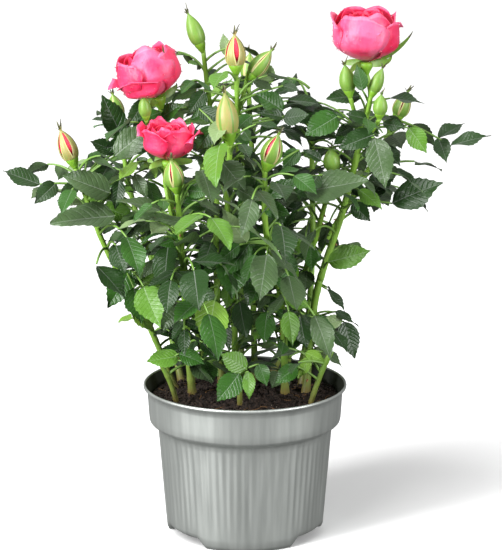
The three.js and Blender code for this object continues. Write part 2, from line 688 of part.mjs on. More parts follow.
for (const bloom of BLOOMS) {
  const stem = stems.get(bloom.mass);
  const base = vector(bloom.base);
  const top = vector(bloom.top);
  let start = stem.curve.getPoint(1).addScaledVector(stem.curve.getTangent(1), GAP);
  let ahead = stem.curve.getTangent(1);
  if (bloom.twig) {
    const foot = vector(bloom.twig.foot);
    const twig = sideTwig(stem, bloom.twig.along, foot, TWIG_RADIUS + 0.2);
    stem.pieces.push(twig.rod);
    note(twig.rod, bloom.mass, 'stem');
    ahead = twig.curve.getTangent(1);
    start = foot.clone().addScaledVector(ahead, GAP);
  }
  const axis = new THREE.Vector3().subVectors(top, base).normalize();
  const hipFoot = base.clone().addScaledVector(axis, -6 * bloom.size);
  const bend = start.clone().addScaledVector(ahead, start.distanceTo(hipFoot) * 0.5);
  const curve = new THREE.QuadraticBezierCurve3(start, bend, hipFoot);
  const stand = (geometry) => {
    geometry.scale(bloom.size, bloom.size, bloom.size);
    geometry.rotateZ(radians(bloom.turn));
    return upright(base, top, geometry);
  };
  const pieces = [
    stand(turned(HEART_PROFILE, 6)),
    stand(turned(HIP_PROFILE, 6).rotateZ(0.2)),
    stalk(curve, 0, 1, () => TWIG_RADIUS + 0.2, 4, 2),
  ];
  for (const whorl of WHORLS) {
    for (let k = 0; k < whorl.count; k += 1) {
      const turn = radians(whorl.turn + 360 * k / whorl.count);
      pieces.push(stand(petal(whorl, turn, bloom.spread)));
    }
  }
  for (let k = 0; k < 5; k += 1) {
    const turn = radians(20 + 72 * k);
    const outward = new THREE.Vector3(Math.cos(turn), Math.sin(turn), -0.35).normalize();
    const normal = new THREE.Vector3(0, 0, 1).addScaledVector(outward, -outward.z).normalize();
    const sepalFoot = outward.clone().multiplyScalar(1.6);
    const sepal = leaflet({ base: sepalFoot, ahead: outward, normal, length: 14, droop: 0.15 });
    pieces.push(stand(sepal));
  }
  pieces.forEach((piece) => note(piece, bloom.name, 'bloom'));
  addPiece(bloom.name, fused(pieces.map((piece) => solidOf(piece))), PETAL_LOOK);
}

// Grow the aimed leaves first, then every mass takes its leaves in turn
const wanted = AIMED_LEAVES.map((leaf, index) => ({ mass: leaf.mass, leaf, seed: 9000 + index }));
const spirals = shoots.map((shoot, index) => spiralLeaves(shoot, index + 1, !shoot.leafy));
const most = Math.max(...spirals.map((leaves) => leaves.length));
for (let k = 0; k < most; k += 1) {
  shoots.forEach((shoot, index) => {
    const leaf = spirals[index][k];
    if (leaf) {
      wanted.push({ mass: shoot.name, leaf, seed: (index + 1) * 100 + k + 50 });
    }
  });
}
for (const { mass, leaf, seed } of wanted) {
  const stem = stems.get(mass);
  const grown = growLeaf(stem, mass, leaf, seed);
  if (grown) {
    stem.pieces.push(grown.rod);
    note(grown.rod, mass, 'stalk');
    note(grown.last, mass, 'leaflet');
    for (const blade of grown.blades) {
      const geometry = leaflet(blade);
      stem.pieces.push(geometry);
      note(geometry, mass, 'leaflet');
    }
  }
}

for (const shoot of shoots) {
  const pieces = stems.get(shoot.name).pieces.map((piece) => solidOf(piece));
  addPiece(`foliage_${shoot.name}`, fused(pieces), LEAF_LOOK);
}

export default group;
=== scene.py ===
import math

import bmesh
import bpy
import numpy as np
from mathutils import Matrix, Vector, noise


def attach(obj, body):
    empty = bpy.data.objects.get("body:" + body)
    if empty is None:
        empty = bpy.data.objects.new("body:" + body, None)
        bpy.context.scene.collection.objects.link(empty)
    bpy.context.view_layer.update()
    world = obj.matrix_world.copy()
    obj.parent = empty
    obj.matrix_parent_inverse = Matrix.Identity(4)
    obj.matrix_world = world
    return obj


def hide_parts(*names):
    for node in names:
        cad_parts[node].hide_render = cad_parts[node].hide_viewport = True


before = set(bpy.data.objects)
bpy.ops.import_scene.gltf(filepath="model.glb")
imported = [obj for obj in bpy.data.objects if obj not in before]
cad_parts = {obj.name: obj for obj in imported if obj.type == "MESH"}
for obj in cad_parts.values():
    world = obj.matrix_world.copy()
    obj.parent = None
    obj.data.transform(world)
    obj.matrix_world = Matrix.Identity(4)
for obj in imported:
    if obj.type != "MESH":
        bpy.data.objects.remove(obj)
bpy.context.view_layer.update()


# Camera, pale floor and soft lamps.
# The plant stands on a plain pale table and is seen from a little above, as in the photograph.
# Large soft lamps stand at the upper left, at the right and overhead.
MM = 0.001
CAMERA_PLACE = Vector((3.55, -1362.4, 477)) * MM
CAMERA_AIM = Vector((3.55, 0, 155)) * MM
CAMERA_LENS, CAMERA_FILM = 156.67, 36
LAMPS = [
    ("key_lamp", (-1.3, -1.05, 0.62), (0.42, 1.2), 50),
    ("fill_lamp", (1.35, -0.95, 0.62), (0.3, 1.2), 27),
]
SUN_FROM = Vector((-0.5, -0.45, 1.0))
SUN_STRENGTH, SUN_SOFTNESS = 2.75, 40
SKY_HEIGHTS, SKY_STRENGTHS = (0.1, 0.9), (0.14, 0.62)
FLOOR_HALF = 3000
FLOOR_WHITE = 0.92


def srgb(red, green, blue):
    """A colour as it shows on a screen, from 0 to 255, as the plain colour that a shader takes."""
    parts = [value / 255 for value in (red, green, blue)]
    return [p / 12.92 if p < 0.04045 else ((p + 0.055) / 1.055) ** 2.4 for p in parts] + [1]


def feed(tree, node, inputs):
    """Sets a node's inputs, each to a value or to what another node puts out."""
    for name, value in inputs.items():
        if isinstance(value, bpy.types.NodeSocket):
            tree.links.new(value, node.inputs[name])
        else:
            node.inputs[name].default_value = value


def add_node(tree, kind, output, inputs=(), **settings):
    """Adds a shader node with its settings and inputs, and returns one of its outputs."""
    node = tree.nodes.new("ShaderNode" + kind)
    for name, value in settings.items():
        setattr(node, name, value)
    feed(tree, node, dict(inputs))
    return node.outputs[output]


def ranged(tree, value, start=(0, 1), end=(0, 1)):
    """A value moved from one range to another."""
    return add_node(tree, "MapRange", "Result", {
        "Value": value, "From Min": start[0], "From Max": start[1],
        "To Min": end[0], "To Max": end[1],
    })


def plain_material(name, colour, roughness):
    """A material, with its node tree and its Principled shader for what is added to them."""
    material = bpy.data.materials.new(name)
    material.use_nodes = True
    shader = material.node_tree.nodes["Principled BSDF"]
    feed(material.node_tree, shader, {"Base Color": colour, "Roughness": roughness})
    return material, material.node_tree, shader


def add_object(name, data):
    thing = bpy.data.objects.new(name, data)
    bpy.context.scene.collection.objects.link(thing)
    return thing


def aimed(name, data, place, way):
    """A camera or a lamp that stands at a place and looks along a way."""
    thing = add_object(name, data)
    thing.location = place
    thing.rotation_mode = "QUATERNION"
    thing.rotation_quaternion = Vector(way).to_track_quat("-Z", "Y")
    return thing


def mesh_of(name, shape):
    """The shape, drawn in millimetres, as a mesh in metres."""
    bmesh.ops.scale(shape, vec=(MM, MM, MM), verts=shape.verts)
    mesh = bpy.data.meshes.new(name)
    shape.to_mesh(mesh)
    shape.free()
    return mesh


scene = bpy.context.scene
camera_data = bpy.data.cameras.new("camera")
camera_data.sensor_width, camera_data.lens = CAMERA_FILM, CAMERA_LENS
scene.camera = aimed("camera", camera_data, CAMERA_PLACE, CAMERA_AIM - CAMERA_PLACE)

for lamp_name, lamp_place, lamp_size, lamp_power in LAMPS:
    lamp_data = bpy.data.lights.new(lamp_name, "AREA")
    lamp_data.shape = "RECTANGLE"
    lamp_data.size, lamp_data.size_y = lamp_size
    lamp_data.energy = lamp_power
    aimed(lamp_name, lamp_data, lamp_place, (-lamp_place[0], -lamp_place[1], 0))
sun_data = bpy.data.lights.new("high_lamp", "SUN")
sun_data.energy, sun_data.angle = SUN_STRENGTH, math.radians(SUN_SOFTNESS)
aimed("high_lamp", sun_data, (0, 0, 0), -SUN_FROM)

sky = bpy.data.worlds.new("sky")
sky.use_nodes = True
sky_tree = sky.node_tree
sky_way = add_node(sky_tree, "TexCoord", "Generated")
sky_height = add_node(sky_tree, "SeparateXYZ", "Z", {"Vector": sky_way})
feed(sky_tree, sky_tree.nodes["Background"], {
    "Color": (1, 1, 1, 1), "Strength": ranged(sky_tree, sky_height, SKY_HEIGHTS, SKY_STRENGTHS),
})
scene.world = sky
scene.view_settings.view_transform = "Standard"

floor_shape = bmesh.new()
bmesh.ops.create_grid(floor_shape, x_segments=1, y_segments=1, size=FLOOR_HALF)
floor = add_object("floor", mesh_of("floor", floor_shape))
floor.data.materials.append(plain_material("pale_floor", [FLOOR_WHITE] * 3 + [1], 0.9)[0])
floor.visible_glossy = floor.visible_diffuse = False


# Pot.
# A silver-grey nursery pot, moulded in thin plastic with a satin surface: a collar with a rolled
# lip, a body with fine upright flutes, and three feet with bays and drain holes between.
POT_RINGS = [
    (6, 0), (17, 0), (18.2, 0), (26, 0), (36, 0), (43, 0), (44.5, 0), (45.6, 0.6), (46.5, 2.6),
    (46.9, 7), (47.3, 12), (47.7, 17), (48.5, 27), (49.5, 39), (50.4, 51), (51.3, 61), (51.6, 64),
    (52.2, 65.6), (53.8, 66.6), (55.4, 67.3), (56.3, 68.2), (56.6, 69.2), (56.9, 73), (57.3, 79),
    (57.6, 84), (57.9, 86.6), (58.6, 87.4), (59.4, 87.9), (59.9, 88.4), (60, 89), (59.9, 89.6),
    (59.5, 89.9), (59.1, 90), (58.8, 89.8), (58.6, 89.2), (57.2, 84), (56.4, 80), (55.2, 69.8),
    (50.2, 65), (47.6, 34), (45.1, 7), (30, 7), (6, 7),
]
POT_STEPS = 360
OUTER_WALL = (43.5, 0.075)
FLUTES, FLUTE_DEPTH = 72, 0.38
FLUTED = (6, 64.5)
FLUTE_FADES = (16, 1.5)
BAY_ANGLES = (-27, 93, 213)
BAY_HALF, BAY_SIDE, BAY_HEIGHT, BAY_LEAN = 27, 7, 5.2, 0.55
FOOT_RING, FOOT_TOP = 17.5, 9.4
DRAIN_RADIUS, DRAIN_RING, DRAIN_ANGLE, DRAIN_DEPTH = 3.5, 33, 9, 6
PAINTED_SHADE_BAND = (7.5, 89.2)


def riding(name, mesh, materials):
    """The mesh as a smooth object of the scene that rides on the body."""
    for material in materials:
        mesh.materials.append(material)
    mesh.shade_smooth()
    thing = add_object(name, mesh)
    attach(thing, "root")
    return thing


def spun(profile, steps):
    """A profile of (radius, height) turned about the upright axis, its open ends closed."""
    shape = bmesh.new()
    ring = [shape.verts.new((radius, 0, height)) for radius, height in profile]
    edges = [shape.edges.new(pair) for pair in zip(ring, ring[1:])]
    bmesh.ops.spin(
        shape, geom=ring + edges, cent=(0, 0, 0), axis=(0, 0, 1), angle=math.tau, steps=steps,
        use_merge=True,
    )
    bmesh.ops.remove_doubles(shape, verts=shape.verts, dist=1e-4)
    rims = [edge for edge in shape.edges if edge.is_boundary]
    bmesh.ops.holes_fill(shape, edges=rims, sides=0)
    bmesh.ops.recalc_face_normals(shape, faces=shape.faces)
    return shape


def nearness_to(angle, middles):
    """How far in degrees an angle lies from the nearest of some others."""
    return min(abs((angle - middle + 180) % 360 - 180) for middle in middles)


def grain(tree, scale, detail, where=None):
    """Noise over a piece, with one scale or with one for each axis."""
    if where is None:
        where = add_node(tree, "TexCoord", "Object")
    if isinstance(scale, tuple):
        where, scale = add_node(tree, "Mapping", "Vector", {"Vector": where, "Scale": scale}), 1
    return add_node(tree, "TexNoise", "Fac", {"Vector": where, "Scale": scale, "Detail": detail})


def mixed(tree, share, first, second, **settings):
    """Two colours mixed by a share that may change over the piece."""
    inputs = {"Factor": share, "A": first, "B": second}
    return add_node(tree, "Mix", "Result", inputs, data_type="RGBA", **settings)


def bumped(tree, height, strength, distance, **below):
    """The normals of a surface with a relief, on top of another relief if there is one."""
    inputs = {"Height": height, "Strength": strength, "Distance": distance, **below}
    return add_node(tree, "Bump", "Normal", inputs)


pot_shape = spun(POT_RINGS, POT_STEPS)
for vert in pot_shape.verts:
    x, y, height = vert.co
    radius, angle = math.hypot(x, y), math.atan2(y, x)
    outside = radius > OUTER_WALL[0] + OUTER_WALL[1] * height
    if outside and FLUTED[0] < height < FLUTED[1]:
        fade = min(1, (height - FLUTED[0]) / FLUTE_FADES[0])
        fade *= min(1, (FLUTED[1] - height) / FLUTE_FADES[1])
        groove = FLUTE_DEPTH * fade * (0.5 - 0.5 * math.cos(angle * FLUTES))
        vert.co.x -= groove * x / radius
        vert.co.y -= groove * y / radius
    if radius > FOOT_RING and height < FOOT_TOP and (outside or height < 1):
        share = (BAY_HALF - nearness_to(math.degrees(angle), BAY_ANGLES)) / BAY_SIDE
        vert.co.z += min(1, max(0, share)) * max(0, BAY_HEIGHT - BAY_LEAN * height)
# Inner wall faces between these heights take the second material: a dark grey that is painted
# shade, for the shade inside the rim.
for face in pot_shape.faces:
    middle = face.calc_center_median()
    inward = face.normal.x * middle.x + face.normal.y * middle.y < 0
    face.material_index = 1 if inward and PAINTED_SHADE_BAND[0] < middle.z < PAINTED_SHADE_BAND[1] else 0

pot_material, tree, shader = plain_material("silver_plastic", srgb(140, 147, 143), 0.36)
streaks = grain(tree, (260, 260, 6), 3)
feed(tree, shader, {
    "Metallic": 0.78, "Roughness": ranged(tree, streaks, end=(0.4, 0.54)),
    "Base Color": mixed(tree, streaks, srgb(166, 171, 167), srgb(200, 204, 200)),
    "Normal": bumped(tree, streaks, 0.25, 0.0002),
})
# Dark grey painted shade for the pot's inner wall.
painted_shade_material = plain_material("painted_shade_plastic", srgb(46, 50, 44), 0.6)[0]
pot_mesh = mesh_of("pot_shell", pot_shape)
pot = riding("pot_shell", pot_mesh, [pot_material, painted_shade_material])

drain_shape = bmesh.new()
for bay_angle in BAY_ANGLES:
    for side in (-1, 1):
        angle = math.radians(bay_angle + side * DRAIN_ANGLE)
        place = Vector((DRAIN_RING * math.cos(angle), DRAIN_RING * math.sin(angle), DRAIN_DEPTH))
        bmesh.ops.create_cone(
            drain_shape, cap_ends=True, segments=20, radius1=DRAIN_RADIUS, radius2=DRAIN_RADIUS,
            depth=DRAIN_DEPTH, matrix=Matrix.Translation(place),
        )
drains = add_object("drains", mesh_of("drains", drain_shape))
cut = pot.modifiers.new("drains", "BOOLEAN")
cut.operation, cut.solver, cut.object = "DIFFERENCE", "EXACT", drains
cut_mesh = bpy.data.meshes.new_from_object(pot.evaluated_get(bpy.context.evaluated_depsgraph_get()))
pot.modifiers.clear()
pot.data = cut_mesh
bpy.data.objects.remove(drains)
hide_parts("pot")


# Compost.
# Dark moist peat that fills the pot to a finger's breadth below its rim, loose and crumbly on top,
# with a few bits of pale root and grit lying in it.
COMPOST_RINGS = [
    (2, 7.3), (44.7, 7.3), (49.8, 65.3), (54.8, 70.1), (55.9, 80.6), (55.3, 81.6), (54, 81.9),
] + [(radius, 82) for radius in np.arange(52.5, 1.5, -1.4)]
COMPOST_TOP, SOIL_TOP, FLAT_ABOVE = 80, 82.0, 81.8
COMPOST_STEPS = 200
CRUMBS, GRIT, CRUMBS_REACH = 2600, 60, 54
BITS, BITS_REACH = 34, 50


class Heap:
    """Many small shapes that are joined into one mesh."""

    def __init__(self):
        self.points, self.faces, self.marks, self.flats = [], [], [], []
        self.count = 0

    def add(self, points, faces, marks=0, flat=None):
        """Adds a shape, with a material number for all its faces or one for each."""
        self.points.append(np.asarray(points))
        self.flats.append(np.zeros((len(points), 2)) if flat is None else flat)
        self.faces += [[corner + self.count for corner in face] for face in faces]
        self.marks += [marks] * len(faces) if isinstance(marks, int) else marks
        self.count += len(points)

    def piece(self, name, materials, slot):
        mesh = bpy.data.meshes.new(name)
        mesh.from_pydata(np.vstack(self.points) * MM, [], self.faces)
        mesh.polygons.foreach_set("material_index", self.marks)
        corners = np.empty(len(mesh.loops), dtype=np.int32)
        mesh.loops.foreach_get("vertex_index", corners)
        layer = mesh.uv_layers.new(name="blade")
        layer.data.foreach_set("uv", np.vstack(self.flats)[corners].ravel())
        return riding(name, mesh, materials)


def made_of(shape):
    """The points and faces of a small shape that is repeated, and its faces' material numbers."""
    shape.verts.index_update()
    points = np.array([vert.co[:] for vert in shape.verts])
    faces = [[vert.index for vert in face.verts] for face in shape.faces]
    marks = [face.material_index for face in shape.faces]
    shape.free()
    return points, faces, marks


def ball():
    """The points and faces of a small round ball."""
    shape = bmesh.new()
    bmesh.ops.create_icosphere(shape, subdivisions=1, radius=1)
    return made_of(shape)[:2]


def cone(sides, foot, tip, steps):
    """An upright round cone one unit long, cut into steps."""
    shape = bmesh.new()
    bmesh.ops.create_cone(shape, cap_ends=True, segments=sides, radius1=foot, radius2=tip, depth=1)
    upright = [e for e in shape.edges if abs(e.verts[0].co.z - e.verts[1].co.z) > 0.5]
    if steps > 1:
        bmesh.ops.subdivide_edges(shape, edges=upright, cuts=steps - 1)
    return made_of(shape)[:2]


def ramped(tree, value, stops):
    """The colour that a ramp with stops of (place, colour) gives a value."""
    colour = add_node(tree, "ValToRGB", "Color", {"Fac": value})
    ramp = colour.node.color_ramp.elements
    for end in (0, -1):
        ramp[end].position, ramp[end].color = stops[end]
    for place, tint in stops[1:-1]:
        ramp.new(place).color = tint
    return colour


def surface_height(x, y):
    """The lumpy top of the compost."""
    point = Vector((x, y, 3))
    return SOIL_TOP + noise.fractal(point * 0.13, 1, 2, 3) * 1.5 + noise.noise(point * 0.5) * 0.7


def spot_on_top(random, reach):
    """A spot on the compost, drawn evenly from a round area."""
    reach, angle = reach * math.sqrt(random.random()), random.random() * math.tau
    return reach * math.cos(angle), reach * math.sin(angle)


def spin_by(random):
    """A turn about the upright axis by an angle drawn evenly, for points in rows."""
    return np.array(Matrix.Rotation(random.random() * math.tau, 3, "Z")).T


compost_shape = spun(COMPOST_RINGS, COMPOST_STEPS)
for vert in compost_shape.verts:
    if vert.co.z > FLAT_ABOVE:
        vert.co.z = surface_height(vert.co.x, vert.co.y)

peat_material, tree, shader = plain_material("peat", srgb(38, 28, 23), 0.95)
peat_grain = grain(tree, 900, 5)
feed(tree, shader, {
    "Base Color": ramped(tree, peat_grain, [(0.38, srgb(20, 14, 12)), (0.75, srgb(74, 57, 46))]),
    "Normal": bumped(tree, peat_grain, 0.8, 0.0008),
})
compost = riding("compost_bed", mesh_of("compost_bed", compost_shape), [peat_material])
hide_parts("compost")

random = np.random.default_rng(11)
crumb_points, crumb_faces = ball()
crumb_heap = Heap()
for index in range(CRUMBS + GRIT):
    x, y = spot_on_top(random, CRUMBS_REACH)
    pale = index >= CRUMBS
    size = random.uniform(0.25, 0.5) if pale else 0.4 + 1.7 * random.random() ** 3
    lump = crumb_points * random.uniform(0.6, 1.1, crumb_points.shape) * size * [1, 0.8, 0.7]
    lump = lump @ spin_by(random) + [x, y, surface_height(x, y) + size * 0.25]
    crumb_heap.add(lump, crumb_faces, int(pale))
straw_points, straw_faces = cone(5, 0.32, 0.2, 4)
for index in range(BITS):
    x, y = spot_on_top(random, BITS_REACH)
    length, bend = random.uniform(4, 11), random.uniform(-1.6, 1.6)
    across, up, along = straw_points.T
    straw = np.column_stack([along * length, across + bend * (2 * along) ** 2, up])
    straw = straw @ spin_by(random) + [x, y, surface_height(x, y) + 0.5]
    if (np.hypot(straw[:, 0], straw[:, 1]) < CRUMBS_REACH).all():
        crumb_heap.add(straw, straw_faces, 2)
grit_material = plain_material("grit", srgb(168, 156, 138), 0.8)[0]
straw_material = plain_material("straw", srgb(120, 88, 56), 0.8)[0]
crumb_heap.piece("compost_crumbs", [peat_material, grit_material, straw_material], "compost")


# Canes.
# Each cane is one green woody stem, round, smooth and a little ridged along its length, with a low
# ring at each old leaf joint, a browner and thicker foot, and small prickles that point down.
GAP = 0.3
FLARE_GROWTH, FLARE_SHARE = 0.9, 14
STEM_FULLNESS = 1.35
SHOOT_FACTS = ("name", "foot", "bends", "top", "radii", "leafy", "leaves", "turn", "bud")
SHOOTS = [dict(zip(SHOOT_FACTS, facts)) for facts in [
    ("front_left", (-31, 3), [(-33.8, -10, 121), (-35.3, -29, 165)], (-38, -45, 214), (2.4, 1.1),
     134, 8, 200, ((-42, -48, 237), 4.2, 0.5, -104)),
    ("front_right", (24, 3), [(21, -14, 143), (12, -29, 188)], (11.3, -35, 225), (2.2, 1.1),
     138, 8, 300, ((21, -35, 250), 4.4, 0.62, -122)),
    ("centre_front", (-5, 14), [(-7, 0, 142), (-10, -17, 195)], (-8.3, -31, 239), (2.1, 1.1),
     142, 7, 250, ((-12, -33, 275), 4.6, 0.06, -60)),
    ("left", (-41, 14), [(-58, 6, 126), (-81, -4, 172)], (-98, -6, 221), (1.9, 1.0),
     138, 8, 150, ((-108, -6, 248), 4.0, 0.9, -70)),
    ("right", (36, 6), [(42, 5, 142), (57, 5, 192)], (71.5, 1, 256), (2.3, 1.3),
     150, 7, 20, None),
    ("left_back", (-22, 36), [(-34, 30, 140), (-45, 9, 205)], (-49.5, -5, 246), (2.2, 1.3),
     146, 7, 170, None),
    ("right_inner", (24, 30), [(31, 20, 135), (43, 6, 182)], (51, -7, 217), (1.9, 1.0),
     150, 6, 330, ((49, -9, 236), 3.6, 0.05, 0)),
    ("centre_left", (-14, 27), [(-17, 22, 150), (-17, 15, 215)], (-24, 8, 286), (2.0, 1.0),
     158, 8, 120, ((-34.8, 8, 313), 3.4, 0.0, 0)),
    ("centre", (6, 30), [(4, 24, 150), (-3, 8, 215)], (-5, -4, 275), (2.0, 1.0),
     162, 7, 64, ((-6, -5, 303), 4.4, 0.95, -84)),
    ("rear_right", (16, 44), [(38, 46, 145), (66, 46, 195)], (90, 40, 240), (2.0, 1.0),
     140, 8, 40, ((98, 38, 262), 3.8, 0.4, -100)),
    ("rear", (-3, 46), [(0, 58, 150), (4, 68, 205)], (2, 74, 256), (2.0, 1.0),
     140, 7, 90, ((3, 76, 280), 3.8, 0.4, 90)),
    ("rear_left", (-38, 30), [(-52, 42, 140), (-68, 52, 190)], (-76, 54, 236), (2.0, 1.0),
     138, 7, 140, ((-80, 55, 258), 3.8, 0.3, 120)),
    ("right_back", (34, 22), [(40, 34, 150), (40, 44, 210)], (38, 40, 264), (1.9, 1.0),
     156, 7, 10, None),
    ("low_left", (-40, -14), [(-42, -17, 90), (-45, -20, 99)], (-49, -23, 108), (1.6, 1.1),
     None, 3, 190, None),
    ("low_front", (-3, -22), [(-3, -26, 90), (-3, -30, 99)], (-2, -34, 107), (1.6, 1.1),
     None, 3, 262, None),
    ("low_right", (38, -18), [(41, -21, 92), (45, -24, 104)], (50, -27, 116), (1.6, 1.1),
     None, 4, 330, None),
    ("low_rear", (33, 36), [(34, 38, 92), (38, 44, 106)], (44, 50, 118), (1.6, 1.1),
     None, 4, 50, None),
]]
CANES = [shoot for shoot in SHOOTS if shoot["leafy"]]
CANE_SIDES, CANE_STEPS, CANE_LAP = 12, 44, 0.004
JOINTS, JOINT_LENGTH, JOINT_SWELL = 9, 0.009, 0.12
PRICKLES, PRICKLE_HOOK = 7, 0.5
BARK_HEIGHTS = (0.08, 0.2)
BARK_TINTS = [
    (0, srgb(136, 104, 62)), (0.06, srgb(122, 132, 62)), (0.2, srgb(120, 158, 60)),
    (0.5, srgb(126, 172, 58)), (0.95, srgb(140, 186, 66)),
]


def unit(vector):
    return vector / math.sqrt(vector @ vector)


def crossed(a, b):
    """The vector square to two others. For one pair this is faster than numpy's own."""
    return np.array([
        a[1] * b[2] - a[2] * b[1], a[2] * b[0] - a[0] * b[2], a[0] * b[1] - a[1] * b[0],
    ])


class Curve:
    """A smooth curve with a point for each part from 0 to 1 of its way."""

    def __init__(self, at):
        self.at = at

    def ahead(self, part):
        """The direction of travel at a part of the way."""
        return unit(self.at(min(1, part + 0.0001)) - self.at(max(0, part - 0.0001)))

    def length(self):
        points = [self.at(step / 200) for step in range(201)]
        return sum(math.dist(a, b) for a, b in zip(points, points[1:]))


def through(points):
    """The curve that passes through all the points, rounded more where they lie further apart."""
    points = [np.array(point, float) for point in points]
    points = [2 * points[0] - points[1]] + points + [2 * points[-1] - points[-2]]
    last = len(points) - 4

    def at(part):
        place = part * (last + 1)
        span = min(last, int(place))
        share = place - span
        a, b, c, d = points[span:span + 4]
        first, mid, final = [float((q - p) @ (q - p)) ** 0.25 for p, q in ((a, b), (b, c), (c, d))]
        start = ((b - a) / first - (c - a) / (first + mid) + (c - b) / mid) * mid
        end = ((c - b) / mid - (d - b) / (mid + final) + (d - c) / final) * mid
        curve = (2 * b - 2 * c + start + end) * share + (3 * c - 3 * b - 2 * start - end)
        return (curve * share + start) * share + b

    return Curve(at)


def bowed(start, middle, end):
    """The curve from start to end that is drawn towards middle."""
    start, middle, end = [np.array(point, float) for point in (start, middle, end)]
    return Curve(lambda t: (1 - t) ** 2 * start + 2 * (1 - t) * t * middle + t * t * end)


ROD_SHAPES = {}


def laid_rod(heap, curve, start, end, radius_at, sides, steps, mark=0):
    """Lays a rod along part of a curve. Its radius is a function of the part and the side."""
    if (sides, steps) not in ROD_SHAPES:
        ROD_SHAPES[sides, steps] = cone(sides, 1, 1, steps)
    points, faces = ROD_SHAPES[sides, steps]
    across = None
    frames = []
    for step in range(steps + 1):
        part = start + (end - start) * step / steps
        ahead = curve.ahead(part)
        across = crossed(ahead, [0, 0.31, 0.95]) if across is None else across
        across = unit(across - (across @ ahead) * ahead)
        frames.append((part, curve.at(part), across, crossed(ahead, across)))
    placed = []
    for x, y, z in points:
        part, centre, side, up = frames[round((z + 0.5) * steps)]
        placed.append(centre + radius_at(part, math.atan2(y, x)) * (x * side + y * up))
    heap.add(placed, faces, mark)


def part_at_height(curve, height):
    part = 0
    while part < 1 and curve.at(part)[2] < height:
        part += 0.0005
    return part


def cane_radius(thick, thin, seed):
    """A cane's radius, with its flared foot, old joints and faint ridges."""
    joints = np.random.default_rng(seed).uniform(0.04, 0.95, JOINTS)

    def radius_at(part, side=0.0):
        flare = FLARE_GROWTH * max(0, 1 - part * FLARE_SHARE) ** 2
        base = thick + (thin * STEM_FULLNESS - thick) * part + flare
        ring = sum(math.exp(-((part - joint) / JOINT_LENGTH) ** 2) for joint in joints)
        ridges = 0.025 * math.cos(5 * side + 9 * part) + 0.02 * math.cos(11 * side)
        return base * (1 + JOINT_SWELL * ring + ridges)

    return radius_at


stems = {}
for number, shoot in enumerate(SHOOTS):
    curve = through([(*shoot["foot"], COMPOST_TOP + GAP), *shoot["bends"], shoot["top"]])
    leafy = part_at_height(curve, shoot["leafy"]) if shoot["leafy"] else 0
    stems[shoot["name"]] = dict(
        curve=curve, leafy=leafy, start=leafy + (GAP / curve.length() if leafy else 0),
        steps=4 if leafy else 3, radius_at=cane_radius(*shoot["radii"], 40 + number),
    )

cane_heap, prickle_heap = Heap(), Heap()
prickle_points, prickle_faces = cone(6, 0.55, 0.05, 1)
prickle_points[prickle_points[:, 2] > 0, 0] -= PRICKLE_HOOK
for number, shoot in enumerate(CANES):
    stem = stems[shoot["name"]]
    curve, radius_at = stem["curve"], stem["radius_at"]
    laid_rod(cane_heap, curve, 0, stem["leafy"] + CANE_LAP, radius_at, CANE_SIDES, CANE_STEPS)
    random = np.random.default_rng(70 + number)
    for _ in range(PRICKLES):
        part, turn = random.uniform(0.05, 0.85), random.random() * math.tau
        ahead = curve.ahead(part)
        side = unit(crossed(ahead, [math.cos(turn), math.sin(turn), 0.01]))
        out = crossed(side, ahead)
        size = random.uniform(1.0, 1.7)
        place = curve.at(part) + out * (radius_at(part) + 0.3 * size)
        prickle_heap.add(place + size * prickle_points @ [ahead, side, out], prickle_faces)

cane_material, tree, shader = plain_material("green_bark", srgb(128, 160, 66), 0.5)
bark_coords = add_node(tree, "TexCoord", "Object")
bark_height = add_node(tree, "SeparateXYZ", "Z", {"Vector": bark_coords})
bark_tint = ramped(tree, ranged(tree, bark_height, BARK_HEIGHTS), BARK_TINTS)
bark_grain = grain(tree, (900, 900, 70), 4, bark_coords)
bark_shade = bark_grain.node.outputs["Color"]
feed(tree, shader, {
    "Base Color": mixed(tree, 0.25, bark_tint, bark_shade, blend_type="MULTIPLY"),
    "Normal": bumped(tree, bark_grain, 0.5, 0.0003),
})
canes = cane_heap.piece("cane_bark", [cane_material], "green_stem")
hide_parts(*("cane_" + shoot["name"] for shoot in CANES))
horn_material = plain_material("prickle_horn", srgb(150, 110, 70), 0.45)[0]
prickle_heap.piece("prickles", [horn_material], "green_stem")


# Leaves.
# Thin green stalks with toothed leaflets in pairs and one at the end. Some sprays are placed one
# by one. Others leave each stem in a spiral by the solids' seeded rule, and small ones fill in.
SPIRAL_ANGLE = 137.5
LEAFLET_WIDTH, LEAFLET_SAG, LEAFLET_FULLNESS = 0.66, 0.3, 0.92
END_SCALE, ROLL = 1.08, 70
STALK_BOW, STALK_LIFT, STALK_DROP = 0.55, 16, 12
STALK_RADIUS, STALK_GROWTH, BARE_STALK = 0.85, -0.35, 7
TRIES = [(0, 0), (24, 8), (-24, -8), (44, 14), (-44, 4), (68, -12), (-68, 18)]
PAIRS = [(0.52, 0.94, 60), (1.12, 0.78, 72)]
AIMED_LEAVES = [
    ("left", 0.72, 183, 28, 29, 25), ("left", 0.3, 205, 8, 38, 27), ("left", 0.1, 250, -20, 34, 27),
    ("right", 0.7, 2, 26, 54, 31), ("right", 0.3, 345, 20, 38, 27),
    ("right", 0.12, 318, -14, 30, 27), ("low_right", 0.9, 340, -5, 20, 22),
    ("low_front", 0.9, 250, -20, 24, 20), ("low_left", 0.9, 215, 10, 20, 20),
]
CROWN_CENTRE, CROWN_RADII = np.array([2, 0, 198]), np.array([152, 124, 116])
CROWN_EDGE, CROWN_BACK = 0.98, 106
EXTRA_LEAVES, EXTRA_ROOM = 20, 2.2
FOOT_LEAVES, FOOT_LOW, FOOT_CLEAR, LIP_TOP, LIP_INSIDE = 11, 92, 86, 97, 46
AIMED_PAIRS = [(0.42, 0.82), (1.0, 0.66)]
AIMED_SPLAY, AIMED_DROP, STEMS_FROM = 58, 8, 90
